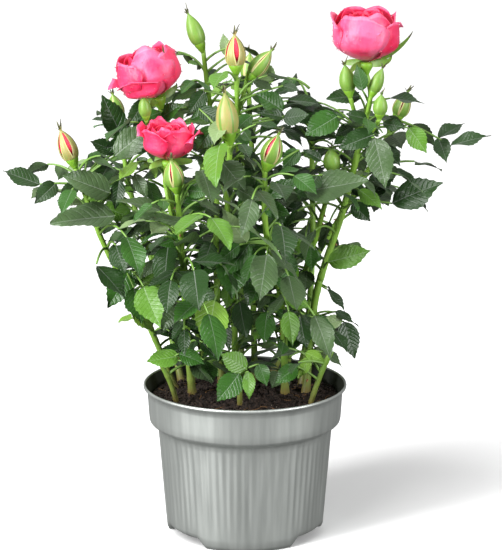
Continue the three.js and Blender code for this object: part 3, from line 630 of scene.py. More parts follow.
AIMED_SPRAYS = [
    ((-118, -10, 211), (-139, -10, 219), 35, 2, "deep"),
    ((-77, -16, 207), (-103, -24, 219), 45, 0, "grey"),
    ((-74, -22, 195), (-110, -34, 195), 28, 0, "grey"),
    ((-71, 2, 237), (-82, -4, 261), 60, 1, "deep"),
    ((-75, 6, 227), (-89, 2, 235), 50, 0, "deep"),
    ((-75, -8, 227), (-53, -14, 247), 60, 0, "grey"),
    ((-66, -22, 163), (-78, -32, 143), 70, 0, "green"),
    ((119, 4, 231), (142, 4, 239), 25, 1, "deep"),
    ((94, -4, 243), (105, -10, 230), 70, 0, "bright"),
    ((79, -8, 246), (92, -12, 245), 60, 0, "deep"),
    ((85, -6, 199), (113, -12, 214), 48, 1, "deep"),
    ((48, -14, 166), (72, -22, 174), 60, 0, "bright"),
    ((58, -4, 128), (64, -10, 107), 20, 0, "deep"),
    ((57, -6, 130), (43, -12, 127), 70, 0, "pale"),
    ((53, -4, 134), (63, -8, 129), 20, 0, "deep"),
    ((74, -14, 239), (81, -28, 213), 75, 0, "grey"),
    ((83, -4, 260), (103, -6, 259), 12, 0, "deep"),
    ((62, -6, 199), (72, -10, 189), 70, 0, "deep"),
    ((16, 8, 268), (6, 2, 281), 120, 0, "pale"),
    ((22, 4, 266), (31, 0, 264), 60, 0, "deep"),
    ((22, -4, 253), (7, -12, 265), 60, 0, "green"),
    ((22, -8, 250), (8, -16, 254), 50, 0, "deep"),
    ((22, -8, 249), (36, -14, 252), 55, 0, "deep"),
    ((25, 0, 258), (45, 2, 258), 20, 0, "deep"),
    ((53, -6, 250), (35, -18, 241), 55, 0, "green"),
    ((66, 0, 261), (47, -6, 260), 40, 0, "deep"),
    ((70, -10, 249), (58, -16, 253), 50, 0, "deep"),
    ((74, -10, 240), (54, -18, 234), 50, 0, "deep"),
    ((67, -14, 266), (64, -16, 281), 70, 0, "green"),
    ((-10, 12, 282), (-13, 14, 295), 80, 0, "pale"),
    ((34, -22, 209), (69, -32, 218), 32, 0, "grey"),
    ((1, -38, 183), (-13, -48, 203), 100, 0, "pale"),
    ((-27, -46, 194), (-52, -54, 203), 18, 0, "grey"),
    ((-47, -36, 201), (-71, -42, 211), 22, 0, "grey"),
    ((-28, -36, 156), (-15, -46, 145), 70, 0, "green"),
    ((-16, -36, 168), (-31, -42, 172), 50, 1, "green"),
    ((13, -34, 209), (31, -40, 220), 60, 1, "green"),
    ((-38, -30, 114), (-56, -36, 113), 40, 0, "bright"),
    ((-38, -32, 116), (-23, -38, 113), 50, 0, "green"),
    ((1, -36, 108), (-13, -40, 119), 60, 0, "bright"),
    ((-3, -38, 106), (-15, -46, 91), 70, 0, "green"),
    ((2, -38, 107), (3, -46, 93), 75, 0, "bright"),
    ((8, -36, 111), (13, -42, 100), 70, 0, "green"),
    ((30, -30, 108), (18, -38, 100), 60, 0, "green"),
    ((35, -22, 114), (47, -26, 110), 60, 0, "young"),
    ((38, -24, 112), (30, -30, 101), 60, 0, "young"),
    ((13, -24, 139), (10, -30, 122), 65, 0, "green"),
    ((32, -14, 134), (35, -20, 116), 60, 0, "deep"),
    ((6, -28, 163), (2, -36, 145), 70, 0, "deep"),
    ((23, -24, 174), (26, -32, 157), 70, 0, "green"),
    ((3, -36, 182), (-11, -44, 165), 60, 0, "green"),
    ((37, -12, 140), (24, -18, 143), 50, 0, "bright"),
    ((19, -16, 138), (27, -20, 132), 60, 0, "green"),
    ((-3, -20, 144), (0, -26, 123), 70, 0, "deep"),
    ((-9, -14, 130), (-21, -20, 124), 60, 0, "deep"),
    ((-42, -14, 142), (-47, -22, 126), 65, 0, "grey"),
    ((-58, -12, 132), (-66, -14, 145), 60, 0, "grey"),
    ((-50, -24, 170), (-59, -30, 161), 65, 0, "grey"),
    ((-48, -20, 154), (-63, -26, 146), 50, 0, "bright"),
    ((-37, -36, 185), (-48, -42, 182), 50, 0, "green"),
    ((-32, -38, 213), (-20, -44, 213), 60, 0, "green"),
    ((-49, -28, 198), (-64, -34, 188), 60, 0, "grey"),
    ((-72, -12, 214), (-74, -18, 198), 70, 0, "deep"),
    ((-63, -20, 219), (-55, -26, 206), 70, 0, "grey"),
    ((-3, -40, 182), (-15, -44, 173), 60, 0, "green"),
    ((45, -10, 168), (30, -16, 171), 50, 0, "green"),
    ((22, -24, 198), (13, -30, 187), 60, 0, "deep"),
    ((61, -8, 211), (71, -12, 204), 60, 0, "deep"),
    ((-4, -34, 213), (8, -40, 207), 60, 0, "grey"),
    ((-13, -36, 229), (1, -46, 215), 62, 0, "grey"),
    ((37, -20, 218), (29, -26, 208), 60, 0, "green"),
    ((4, -16, 252), (-5, -22, 246), 50, 0, "green"),
    ((-23, -10, 265), (-31, -16, 254), 60, 0, "deep"),
    ((-26, -16, 256), (-13, -24, 250), 60, 0, "deep"),
    ((-17, -20, 246), (-28, -30, 235), 60, 0, "green"),
    ((0, -26, 234), (10, -32, 222), 60, 0, "deep"),
    ((31, -20, 233), (21, -26, 224), 60, 0, "green"),
    ((44, -10, 225), (34, -14, 232), 50, 0, "deep"),
    ((-57, -2, 259), (-67, -10, 244), 60, 0, "deep"),
    ((-31, -6, 248), (-19, -10, 255), 50, 0, "green"),
    ((-48, -10, 253), (-60, -14, 250), 50, 0, "green"),
    ((-49, -8, 249), (-36, -14, 258), 60, 0, "green"),
]
OPENINGS = [
    (-108, 140, 29, 36), (-68, 111, 15, 14), (-115, 253, 25, 29), (-92, 277, 16, 18),
    (117, 146, 42, 40), (91, 116, 22, 36), (64, 147, 8, 11), (42, 187, 5, 16), (50, 201, 4, 7),
    (-12, 114, 6, 4), (118, 280, 29, 19), (135, 200, 20, 23), (34, 287, 15, 17),
    (-131, 175, 18, 23), (-42, 210, 6, 14), (15, 229, 8, 13), (-9, 250, 8, 17), (-6, 282, 8, 16),
    (-103, 232, 9, 14), (-28, 296, 8, 12), (73, 261, 5, 10), (51, 223, 5, 9), (62, 273, 5, 10),
    (44, 271, 13, 14), (50, 194, 11, 6), (68, 182, 20, 8), (52, 158, 14, 8), (74, 159, 10, 8),
    (41, 145, 6, 8), (38, 112, 5, 6), (-96, 181, 12, 6), (-79, 158, 6, 7), (-68, 133, 5, 5),
    (-113, 219, 6, 5), (-90, 229, 6, 6), (95, 256, 7, 7), (97, 219, 6, 6), (96, 194, 6, 6),
    (52, 150, 8, 8), (50, 135, 5, 6), (51, 110, 5, 6), (96, 191, 8, 7), (93, 181, 8, 6),
]
BLADE_ROWS = 18
BLADE_COLUMNS = (-1, -0.5, -0.05, 0.05, 0.5, 1)
BLADE_VARIANTS = 10
SHADES = [
    ("deep", srgb(24, 56, 8), 6), ("green", srgb(42, 86, 18), 6),
    ("grey", srgb(64, 88, 50), 4), ("bright", srgb(84, 128, 38), 3),
    ("young", srgb(110, 150, 50), 1), ("pale", srgb(124, 148, 98), 1),
]
UNDERSIDE = srgb(112, 134, 96)
# Leaves with tips right of and above these take the deep green, partly as painted shade.
PAINTED_SHADE_RIGHT_OF, PAINTED_SHADE_ABOVE = -5, 208
RIB_PALENESS = 0.1
TRIMMED_TWIGS = {"right_back": 0.86}
CORNER_STEPS = 5
UP = np.array([0.0, 0.0, 1.0])
NEAR = [(a, b, c) for a in (-1, 0, 1) for b in (-1, 0, 1) for c in (-1, 0, 1)]


def seeded(seed):
    """Seeded numbers from 0 to 1, the same as those that place the solids' leaves."""
    state = [(seed * 7919 + 12345) & 0xFFFFFFFF]

    def draw():
        state[0] = (state[0] * 1664525 + 1013904223) & 0xFFFFFFFF
        return state[0] / 4294967296

    draw()
    draw()
    return draw


def on_steps(curve, start, end, steps, part):
    """The point at a part of a curve, on the straight runs between its steps."""
    place = (part - start) / (end - start) * steps
    step = min(steps - 1, int(place))
    low = curve.at(start + (end - start) * step / steps)
    high = curve.at(start + (end - start) * (step + 1) / steps)
    return low + (high - low) * (place - step)


def on_stem(stem, along):
    """The point at a part of a stem's leafy run."""
    start = stem["start"]
    return on_steps(stem["curve"], start, 1, stem["steps"], start + (1 - start) * along)


def turned_about(vector, axis, angle):
    """A vector turned about an axis of unit length."""
    sine, cosine = math.sin(angle), math.cos(angle)
    return vector * cosine + crossed(axis, vector) * sine + axis * (axis @ vector) * (1 - cosine)


def square_to(way, vector):
    """The vector, of unit length and turned as little as it takes to stand square to a way."""
    return unit(vector - (vector @ way) * way)


def aim(turn, rise):
    """The way that points in a compass direction and rises, both in degrees."""
    turn, rise = math.radians(turn), math.radians(rise)
    flat = math.cos(rise)
    return np.array([math.cos(turn) * flat, math.sin(turn) * flat, math.sin(rise)])


def leaflet(base, way, face, length, droop, part):
    """A leaflet from a part of its stalk along its way, with its upper side turned as face says."""
    normal = square_to(way, face)
    return dict(base=base, way=way, normal=normal, length=length, droop=droop, part=part)


def leaf_at(stem, along, turn, rise, reach, size, roll, random):
    """One leaf: the curve of its stalk, and its leaflets with the one at its end first."""
    foot = on_stem(stem, along)
    bow = foot + aim(turn, rise + STALK_LIFT) * reach * STALK_BOW
    curve = bowed(foot, bow, foot + aim(turn, rise - STALK_DROP) * reach)

    def blade(part, splay, scale):
        ahead = curve.ahead(part)
        across = turned_about(unit(crossed(ahead, UP)), ahead, math.radians(roll))
        normal = crossed(across, ahead)
        tilt = 0.16 * (random() - 0.5)
        spread = ahead * math.cos(splay) + across * math.sin(splay)
        way = unit(spread + normal * tilt - UP * LEAFLET_SAG)
        base = on_steps(curve, 0, 1, 2, part)
        return leaflet(base, way, normal, size * scale, 0.06 + 0.14 * random(), part)

    blades = [blade(1, 0, END_SCALE)]
    for back, scale, splay in PAIRS:
        if back * size < reach - BARE_STALK:
            for hand in (-1, 1):
                spread = hand * math.radians(splay + 8 * (random() - 0.5))
                blades.append(blade(1 - back * size / reach, spread, scale))
    return curve, blades


def on_blade(blade, part):
    """A point on a leaflet's middle line, which droops towards its tip."""
    length = blade["length"]
    sunk = blade["normal"] * blade["droop"] * length * part * part
    return blade["base"] + blade["way"] * length * part - sunk


def tip_of(blade):
    return on_blade(blade, 1)


def grown_tries(stem, leaf, seed):
    """A leaf in each of the places that it may take."""
    along, turn, rise, reach, size = leaf
    for more_turn, more_rise in TRIES:
        random = seeded(seed)
        roll = ROLL * (random() - 0.5)
        yield leaf_at(stem, along, turn + more_turn, rise + more_rise, reach, size, roll, random)


def middle_share(along):
    """How near a part of a stem lies to the run with its longest leaves."""
    return max(0, 1 - abs(2 * along - 0.8) ** 2)


def spiral_leaves(shoot, number):
    """The rule for the leaves of one stem: a spiral, longest in the middle."""
    count = shoot["leaves"]
    for k in range(count):
        random = seeded(number * 100 + k)
        low = shoot["leafy"] is None
        along = 0.55 + 0.45 * (k / count) if low else 0.05 + 0.84 * ((k + 0.5) / count)
        turn = shoot["turn"] + k * SPIRAL_ANGLE + 16 * (random() - 0.5)
        rise = (12 if low else 6 + 30 * along) + 14 * (random() - 0.5)
        reach = 24 + 8 * random() if low else 27 + 19 * middle_share(along) + 5 * random()
        size = 20 + 4 * random() if low else 22 + 7 * middle_share(along) + 3 * random()
        yield along, turn, rise, reach, size


def is_open(point):
    """Whether a point lies in a gap of the crown, as seen from where the camera stands."""
    eye = CAMERA_PLACE / MM
    share = eye.y / (eye.y - point[1])
    across, height = eye.x + (point[0] - eye.x) * share, eye.z + (point[2] - eye.z) * share
    return any(
        math.hypot((across - x) / wide, (height - z) / tall) < 1 for x, z, wide, tall in OPENINGS
    )


def hides_a_gap(blade):
    """Whether a leaflet's tip or its middle lies in such a gap."""
    return is_open(tip_of(blade)) or is_open(blade["base"] + 0.5 * blade["length"] * blade["way"])


def blade_samples(blade):
    """Points spread over a leaflet."""
    side = crossed(blade["normal"], blade["way"])
    for part in (0.15, 0.32, 0.5, 0.68, 0.85, 1.0):
        half = 0.3 * blade["length"] * math.sin(math.pi * min(0.97, part)) ** 0.8
        for share in (-0.9, -0.45, 0, 0.45, 0.9):
            yield on_blade(blade, part) + side * half * share


room = {}


def cell_of(point):
    return tuple((point // EXTRA_ROOM).astype(int).tolist())


def claim(samples):
    """Marks the room round some points as taken."""
    for point in samples:
        room.setdefault(cell_of(point), []).append(point)


def is_free(blade):
    """Whether a leaflet keeps clear of everything that has its room."""
    for point in blade_samples(blade):
        a, b, c = cell_of(point)
        for i, j, k in NEAR:
            for other in room.get((a + i, b + j, c + k), ()):
                if (other - point) @ (other - point) < EXTRA_ROOM * EXTRA_ROOM:
                    return False
    return True


grown = []


def keep_leaf(shade, curve, blades):
    grown.append((shade, curve, blades))
    for blade in blades:
        claim(blade_samples(blade))


def fill_in(stem, leaf, seed, may_reach):
    """Keeps the fullest of a leaf's tries, if one has room in the crown for its end leaflet."""
    best = []
    for curve, blades in grown_tries(stem, leaf, seed):
        free = [
            b for b in blades
            if (((tip_of(b) - CROWN_CENTRE) / CROWN_RADII) ** 2).sum() < CROWN_EDGE
            and may_reach(tip_of(b)) and not hides_a_gap(b) and is_free(b)
        ]
        if free and free[0] is blades[0] and len(free) > len(best):
            best, best_curve = free, curve
    if best:
        keep_leaf(None, best_curve, best)


stem_points = np.array([
    stems[shoot["name"]]["curve"].at(step / 80) for shoot in SHOOTS for step in range(81)
])
stem_points = stem_points[stem_points[:, 2] > STEMS_FROM]
for number, (joint, tip, face, pairs, shade) in enumerate(AIMED_SPRAYS):
    random = seeded(7000 + number)
    joint, tip, face = np.array(joint, float), np.array(tip, float), math.radians(face)
    foot = stem_points[np.argmin(((stem_points - joint + [0, 0, AIMED_DROP]) ** 2).sum(axis=1))]
    way, size = unit(tip - joint), math.dist(joint, tip)
    stalk = bowed(foot, (foot + joint) / 2 + [0, 0, 0.06 * math.dist(foot, joint)], joint)
    facing = np.array([0, -math.sin(face), math.cos(face)])
    blades = [leaflet(joint, way, facing, size, 0.04 + 0.08 * random(), 1)]
    normal = blades[0]["normal"]
    for back, scale in AIMED_PAIRS[:pairs]:
        part = max(0.1, 1 - back * size / stalk.length())
        for hand in (-1, 1):
            splay = hand * math.radians(AIMED_SPLAY)
            side_way = turned_about(unit(stalk.ahead(part) + way), normal, splay)
            blade = leaflet(
                stalk.at(part), side_way, normal, size * scale, 0.05 + 0.1 * random(), part,
            )
            if not is_open(tip_of(blade)):
                blades.append(blade)
    keep_leaf(shade, stalk, blades)

corner_sets = {}
for shoot in SHOOTS:
    corner_sets[shoot["name"]] = {
        tuple(np.round(np.array(vert.co) / MM * CORNER_STEPS).astype(int))
        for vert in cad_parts["foliage_" + shoot["name"]].data.vertices
    }


def is_corner(mass, point):
    """Whether a solid of leaves has a corner at a point, to about a fifth of a millimetre."""
    low = np.floor(point * CORNER_STEPS - 0.25).astype(int)
    steps = [(a, b, c) for a in (0, 1) for b in (0, 1) for c in (0, 1)]
    return any(tuple(low + step) in corner_sets[mass] for step in steps)


wanted = [(mass, tuple(leaf), 9000 + index) for index, (mass, *leaf) in enumerate(AIMED_LEAVES)]
for number, shoot in enumerate(SHOOTS, 1):
    for k, leaf in enumerate(spiral_leaves(shoot, number)):
        wanted.append((shoot["name"], leaf, number * 100 + k + 50))
rule_leaves = []
for mass, leaf, seed in wanted:
    for curve, blades in grown_tries(stems[mass], leaf, seed):
        if is_corner(mass, tip_of(blades[0])):
            kept = [
                b for b in blades
                if is_corner(mass, tip_of(b)) and not hides_a_gap(b) and is_free(b)
            ]
            if kept:
                rule_leaves.append((None, curve, kept))
            break
for leaf in rule_leaves:
    keep_leaf(*leaf)
for stem in stems.values():
    claim(stem["curve"].at(step / 120) for step in range(121))

for number, shoot in enumerate(CANES):
    for k in range(EXTRA_LEAVES):
        random = seeded(5000 + number * 100 + k)
        along = 0.98 * (k + 0.35) / EXTRA_LEAVES
        leaf = (
            along, shoot["turn"] + 68 + k * SPIRAL_ANGLE + 20 * (random() - 0.5),
            2 + 34 * along + 24 * (random() - 0.5),
            18 + 18 * middle_share(along) * random() + 6 * random(),
            13 + 8 * middle_share(along) * random() + 5 * random(),
        )
        seed = 5050 + number * 100 + k
        fill_in(stems[shoot["name"]], leaf, seed, lambda tip: tip[1] < CROWN_BACK)
for number, shoot in enumerate(CANES):
    stem = stems[shoot["name"]]
    for k in range(FOOT_LEAVES):
        random = seeded(6000 + number * 100 + k)
        height = FOOT_LOW + (shoot["leafy"] - FOOT_LOW) * k / FOOT_LEAVES
        low = dict(stem, start=part_at_height(stem["curve"], height))
        turn = shoot["turn"] + k * SPIRAL_ANGLE
        leaf = (0, turn, 14 + 24 * random(), 16 + 8 * random(), 12 + 6 * random())
        fill_in(low, leaf, 6050 + number * 100 + k, lambda tip: (
            tip[2] > FOOT_CLEAR and (tip[2] > LIP_TOP or math.hypot(*tip[:2]) < LIP_INSIDE)
        ))


def blade_shape(variant):
    """A toothed leaflet one unit long: x is along it, y across it and z up from its face."""
    random = np.random.default_rng(300 + variant)
    fold, cup = random.uniform(0.12, 0.5), random.uniform(-0.1, 0.6)
    wave, phase = random.uniform(0.015, 0.045), random.uniform(0, 6)
    hook, width = random.uniform(-0.07, 0.07), random.uniform(0.9, 1.12)
    columns = len(BLADE_COLUMNS) - 1
    shape = bmesh.new()
    bmesh.ops.create_grid(shape, x_segments=BLADE_ROWS, y_segments=columns, size=0.5)
    flat = []
    for vert in shape.verts:
        row = round((vert.co.x + 0.5) * BLADE_ROWS)
        part, across = row / BLADE_ROWS, BLADE_COLUMNS[round((vert.co.y + 0.5) * columns)]
        edge, fin, rib = abs(across) == 1, abs(across) == 0.5, abs(across) == 0.05
        bulge = min(part, 0.992)
        half = LEAFLET_WIDTH / 2 * math.sin(math.pi * bulge ** 0.8) ** (0.62 + 0.62 * bulge) * width
        tooth = row % 2 == 1 and edge
        y = across * half * (0.925 if edge and not tooth else 1)
        if rib:
            y = math.copysign(0.011 * (1 - 0.7 * part), across)
        ripple = wave * math.sin(phase + 9 * part) * across * abs(across)
        z = abs(y) * fold - cup * y * y * 2 + ripple + 0.007 * (row % 2) * fin - 0.006 * rib
        vert.co = (min(part + 0.02 * tooth, 1), y + hook * part * part, z)
        flat.append((0.5 + across * half, part))
    for face in shape.faces:
        middle = sum(vert.co.y - hook * vert.co.x ** 2 for vert in face.verts) / 4
        face.material_index = 1 if abs(middle) < 0.004 else 0
    return *made_of(shape), np.array(flat)


def vein_group():
    """Fine puckered skin between slanting side veins, as a height, from the leaflet's flat map."""
    group = bpy.data.node_groups.new("leaf_relief", "ShaderNodeTree")
    group.interface.new_socket("Height", in_out="OUTPUT", socket_type="NodeSocketFloat")

    def maths(operation, *values):
        return add_node(group, "Math", 0, enumerate(values), operation=operation)

    flat = add_node(group, "UVMap", "UV", uv_map="blade")
    across = add_node(group, "SeparateXYZ", "X", {"Vector": flat})
    from_rib = maths("ABSOLUTE", maths("SUBTRACT", across, 0.5))
    slant = maths("SUBTRACT", across.node.outputs["Y"], maths("MULTIPLY", from_rib, 0.8))
    phase = maths("FRACT", maths("MULTIPLY", slant, 9.0))
    from_vein = maths("ABSOLUTE", maths("SUBTRACT", maths("MULTIPLY", phase, 2.0), 1.0))
    ridge = maths("POWER", from_vein, 5.0)
    height = maths("SUBTRACT", grain(group, 420, 4), maths("MULTIPLY", ridge, 0.45))
    feed(group, group.nodes.new("NodeGroupOutput"), {"Height": height})
    return group


BLADES = [blade_shape(variant) for variant in range(BLADE_VARIANTS)]
VEINS = vein_group()


def leaf_material(name, colour, roughness):
    """Green leaf skin with a soft wax gloss and a fine puckered grain, and a paler underside."""
    material, tree, shader = plain_material(name, colour, roughness)
    behind = add_node(tree, "NewGeometry", "Backfacing")
    below = [(a + b) / 2 for a, b in zip(colour, UNDERSIDE)]
    veins = add_node(tree, "Group", "Height", node_tree=VEINS)
    feed(tree, shader, {
        "Specular IOR Level": 0.42, "Sheen Weight": 0.1,
        "Base Color": mixed(tree, behind, colour, below),
        "Normal": bumped(tree, veins, 0.5, 0.0008),
    })
    return material


def even(radius, growth=0.0):
    """The radius of a round rod that grows evenly along its way."""
    return lambda part, side: radius + growth * part


leaf_heaps = {shade: Heap() for shade, _, _ in SHADES}
stalk_heap = Heap()
shade_names = [shade for shade, _, weight in SHADES for _ in range(weight)]
pick = np.random.default_rng(91)
for shade, curve, blades in grown:
    fullness = 1 if shade else LEAFLET_FULLNESS
    if shade is None:
        shade = shade_names[pick.integers(len(shade_names))]
        # Leaves at the upper right, unless dealt the plain green, take the deep green: partly the
        # leaves' own yellower tone and partly painted shade, darker where the high lamp lights them
        # most.
        x, _, z = tip_of(blades[0])
        if x > PAINTED_SHADE_RIGHT_OF and z > PAINTED_SHADE_ABOVE and shade != "green":
            shade = "deep"
    stalk_end = max(blade["part"] for blade in blades)
    laid_rod(stalk_heap, curve, 0, stalk_end, even(STALK_RADIUS, STALK_GROWTH), 6, 6)
    for blade in blades:
        points, faces, marks, flat = BLADES[pick.integers(BLADE_VARIANTS)]
        along, across, up = points.T
        up = up - blade["droop"] * along ** 2
        local = np.column_stack([along, across * pick.uniform(0.76, 1.06), up])
        turn = [blade["way"], crossed(blade["normal"], blade["way"]), blade["normal"]]
        placed = blade["base"] + local * fullness * blade["length"] @ turn
        leaf_heaps[shade].add(placed, faces, marks, flat)

foliage_nodes = ["foliage_" + shoot["name"] for shoot in SHOOTS]
for shade, colour, _ in SHADES:
    skin = leaf_material("leaf_" + shade, colour, 0.36)
    lighter = [value + (1 - value) * RIB_PALENESS for value in colour[:3]] + [1]
    rib = leaf_material("rib_" + shade, lighter, 0.5)
    piece = leaf_heaps[shade].piece("leaves_" + shade, [skin, rib], "leaf")
    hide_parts(*foliage_nodes)
for name, stem in stems.items():
    end = TRIMMED_TWIGS.get(name, 1)
    laid_rod(stalk_heap, stem["curve"], stem["leafy"], end, stem["radius_at"], 10, 30, 1)


# Buds, hips and blooms.
# Each flower stands on a green hip with five green sepals. In a bud they are closed round pink
# petals, and in a bloom they are folded back under broad pink petals that overlap in a spiral.
SIDE_BUDS = [
    ("centre", 0.78, (1.4, 4, 270), (19, 4, 291), 3.8, 0.3, -110),
    ("left_back", 0.84, (-56, -20, 250), (-58, -22, 268), 2.6, 0.0, 0),
    ("right", 0.86, (60, -8, 262), (56, -10, 285), 3.4, 0.0, 0),
    ("right", 0.8, (77, -14, 250), (78, -16, 268), 3.0, 0.1, 0),
    ("right", 0.84, (72, -10, 262), (80, -12, 283), 2.7, 0.0, 0),
]
TINTED_BUDS = ("centre", "centre_front", "left")
FLOWER_TWIG = 1.25
HIP_RINGS = [
    (0.02, 0), (0.4, 0.01), (0.46, 0.12), (0.66, 0.34), (0.9, 0.6), (1, 0.8), (0.93, 0.93),
    (0.76, 1), (0.04, 1.01),
]
BODY_RINGS = [
    (0.04, 0), (0.5, 0.01), (0.72, 0.08), (0.92, 0.2), (1, 0.34), (0.95, 0.5), (0.78, 0.67),
    (0.52, 0.82), (0.24, 0.94), (0.03, 1),
]
SEPAL_RINGS = (
    (0, 0.08, 0.22, 0.34, 0.5, 0.67, 0.82, 0.94, 1),
    (0.8, 0.93, 1.02, 1.03, 0.97, 0.8, 0.55, 0.28, 0.1),
)
BUD_FULLNESS, CLOSED_BELOW = 1.32, 0.2
BUD_SINKS, SIDE_BUD_SINKS = 1.5, 1.2
BUD_HIP, BUD_FOOT, BUD_BODY = 0.24, 0.21, 0.56
SEPAL_ROWS, SEPAL_TIP, SEPAL_HALF = 12, 0.74, 0.67
SEPAL_REACHES = (1, 0.55, 0.8, 0.4, 0.5)
LONG_SEPAL_WIDTH, SEPAL_FACING = 3.2, np.array([0, -1.1, 0.3])
SEPAL_MARK, MARGIN_MARK, TIP_MARK, TINTED_MARK = 1, 2, 3, 4
BLOOMS = [
    dict(
        name="bloom_left", mass="left_back", twig=None, ruffle=1.6,
        base=(-49.6, -8, 261), top=(-58.5, -9, 290), heart=(12.5, 27.5, 13),
        petals=[
            (-82, 58, 17.5, 9.0, 31.5, 0.0, 1.0, 0), (-150, 52, 19.5, 16.0, 27.5, 0.8, 0.5, 1),
            (-22, 50, 17.5, 15.0, 26.5, 0.6, 2.8, 1), (150, 56, 18.5, 15.0, 28.5, 0.9, 0.5, 1),
            (40, 58, 17.0, 12.0, 29.0, 0.5, 1.5, 1), (176, 24, 17.5, 21.0, 18.0, 1.6, 0.8, 1),
            (-118, 44, 18.5, 20.5, 15.5, 1.0, 1.0, 1), (95, 50, 17.0, 12.0, 28.5, 0.4, 1.0, 1),
        ],
        sepals=[(-42, 17, 30), (30, 14, 4), (100, 15, -3), (172, 13, -6), (-110, 11, -3)],
    ),
    dict(
        name="bloom_low_left", mass="front_left", twig=(0.45, (-45, -24, 212)), ruffle=2.2,
        base=(-43.4, -30, 228.5), top=(-43, -31, 250), heart=(11.5, 20.0, 15),
        petals=[
            (-132, 48, 14.5, 15.5, 19.5, 0.9, 1.6, 1), (-60, 50, 13.5, 13.0, 20.0, 0.7, 1.2, 1),
            (-14, 36, 14.0, 17.0, 17.5, 1.3, 2.4, 1), (172, 38, 13.5, 15.5, 20.5, 1.1, 2.2, 1),
            (118, 38, 13.0, 13.0, 21.5, 0.9, 2.0, 1), (66, 38, 12.5, 12.5, 21.0, 0.8, 2.2, 1),
            (20, 38, 13.5, 14.0, 19.5, 1.1, 2.0, 1), (-98, 34, 12.5, 11.0, 21.0, 0.6, 1.2, 1),
            (-30, 34, 12.0, 10.5, 20.5, 0.5, 1.0, 1), (150, 34, 11.5, 10.5, 21.0, 0.5, 1.4, 1),
        ],
        sepals=[(-60, 12, -4), (0, 14, 0), (80, 13, 2), (150, 14, -3), (-140, 13, -4)],
    ),
    dict(
        name="bloom_right", mass="right", twig=None, ruffle=1.6,
        base=(69.4, 0, 280), top=(69.0, -2, 312), heart=(13.5, 29.5, 13),
        petals=[
            (-112, 66, 19.5, 15.5, 30.0, 0.6, 0.5, 0), (-24, 52, 19.0, 18.5, 25.0, 1.2, 1.2, 1),
            (178, 48, 19.0, 18.5, 29.5, 1.8, 1.5, 0), (120, 58, 18.5, 15.0, 30.5, 0.8, 0.5, 1),
            (55, 58, 18.5, 15.0, 30.0, 0.8, 1.0, 1), (8, 40, 17.5, 16.5, 28.0, 1.0, 1.5, 1),
            (-62, 44, 17.0, 12.5, 30.5, 0.4, 0.5, 0),
        ],
        sepals=[(-12, 27, 19), (-34, 17, 7), (60, 16, 2), (150, 15, -3), (-140, 12, -6)],
    ),
]
HIP_LENGTH, HIP_RADIUS, HIP_LAP = 7.6, 4.4, 0.6
PETAL_ROWS, PETAL_COLUMNS, PETAL_THICKNESS = 12, 10, 0.3
RIM_SHARE, RIM_MARKS = 0.1, (3, 0)
DRY_BLOOM, DROPS = "bloom_low_left", 200


def upright_turn(start, end):
    """The turn that stands an upright shape's rows of points along the line from start to end."""
    line = Vector(end) - Vector(start)
    return np.array(Vector((0, 0, 1)).rotation_difference(line).to_matrix()).T


def add_twig(stem, along, tip):
    """A side twig to a flower, from a part of a stem."""
    start, tip = on_stem(stem, along), np.array(tip, float)
    twig = bowed(start, (start + tip) / 2 - [0, 0, 0.12 * math.dist(start, tip)], tip)
    laid_rod(stalk_heap, twig, 0, 1, even(FLOWER_TWIG), 8, 12, 1)
    return twig


def sepal_shape(columns):
    """A flat strip one unit long and two wide, with its margins and its tip marked."""
    shape = bmesh.new()
    bmesh.ops.create_grid(shape, x_segments=SEPAL_ROWS, y_segments=columns, size=1)
    for vert in shape.verts:
        vert.co.x = vert.co.x / 2 + 0.5
    for face in shape.faces:
        middle = face.calc_center_median()
        margin = abs(middle.y) > 1 - 1.2 / columns and columns > 2
        mark = MARGIN_MARK if margin else SEPAL_MARK
        face.material_index = TIP_MARK if middle.x > 0.86 else mark
    return made_of(shape)


HIP, BODY = made_of(spun(HIP_RINGS, 14))[:2], made_of(spun(BODY_RINGS, 18))[:2]
BUD_SEPAL, LONG_SEPAL = sepal_shape(8), sepal_shape(2)
green_heap, bud_heap, drop_heap = Heap(), Heap(), Heap()


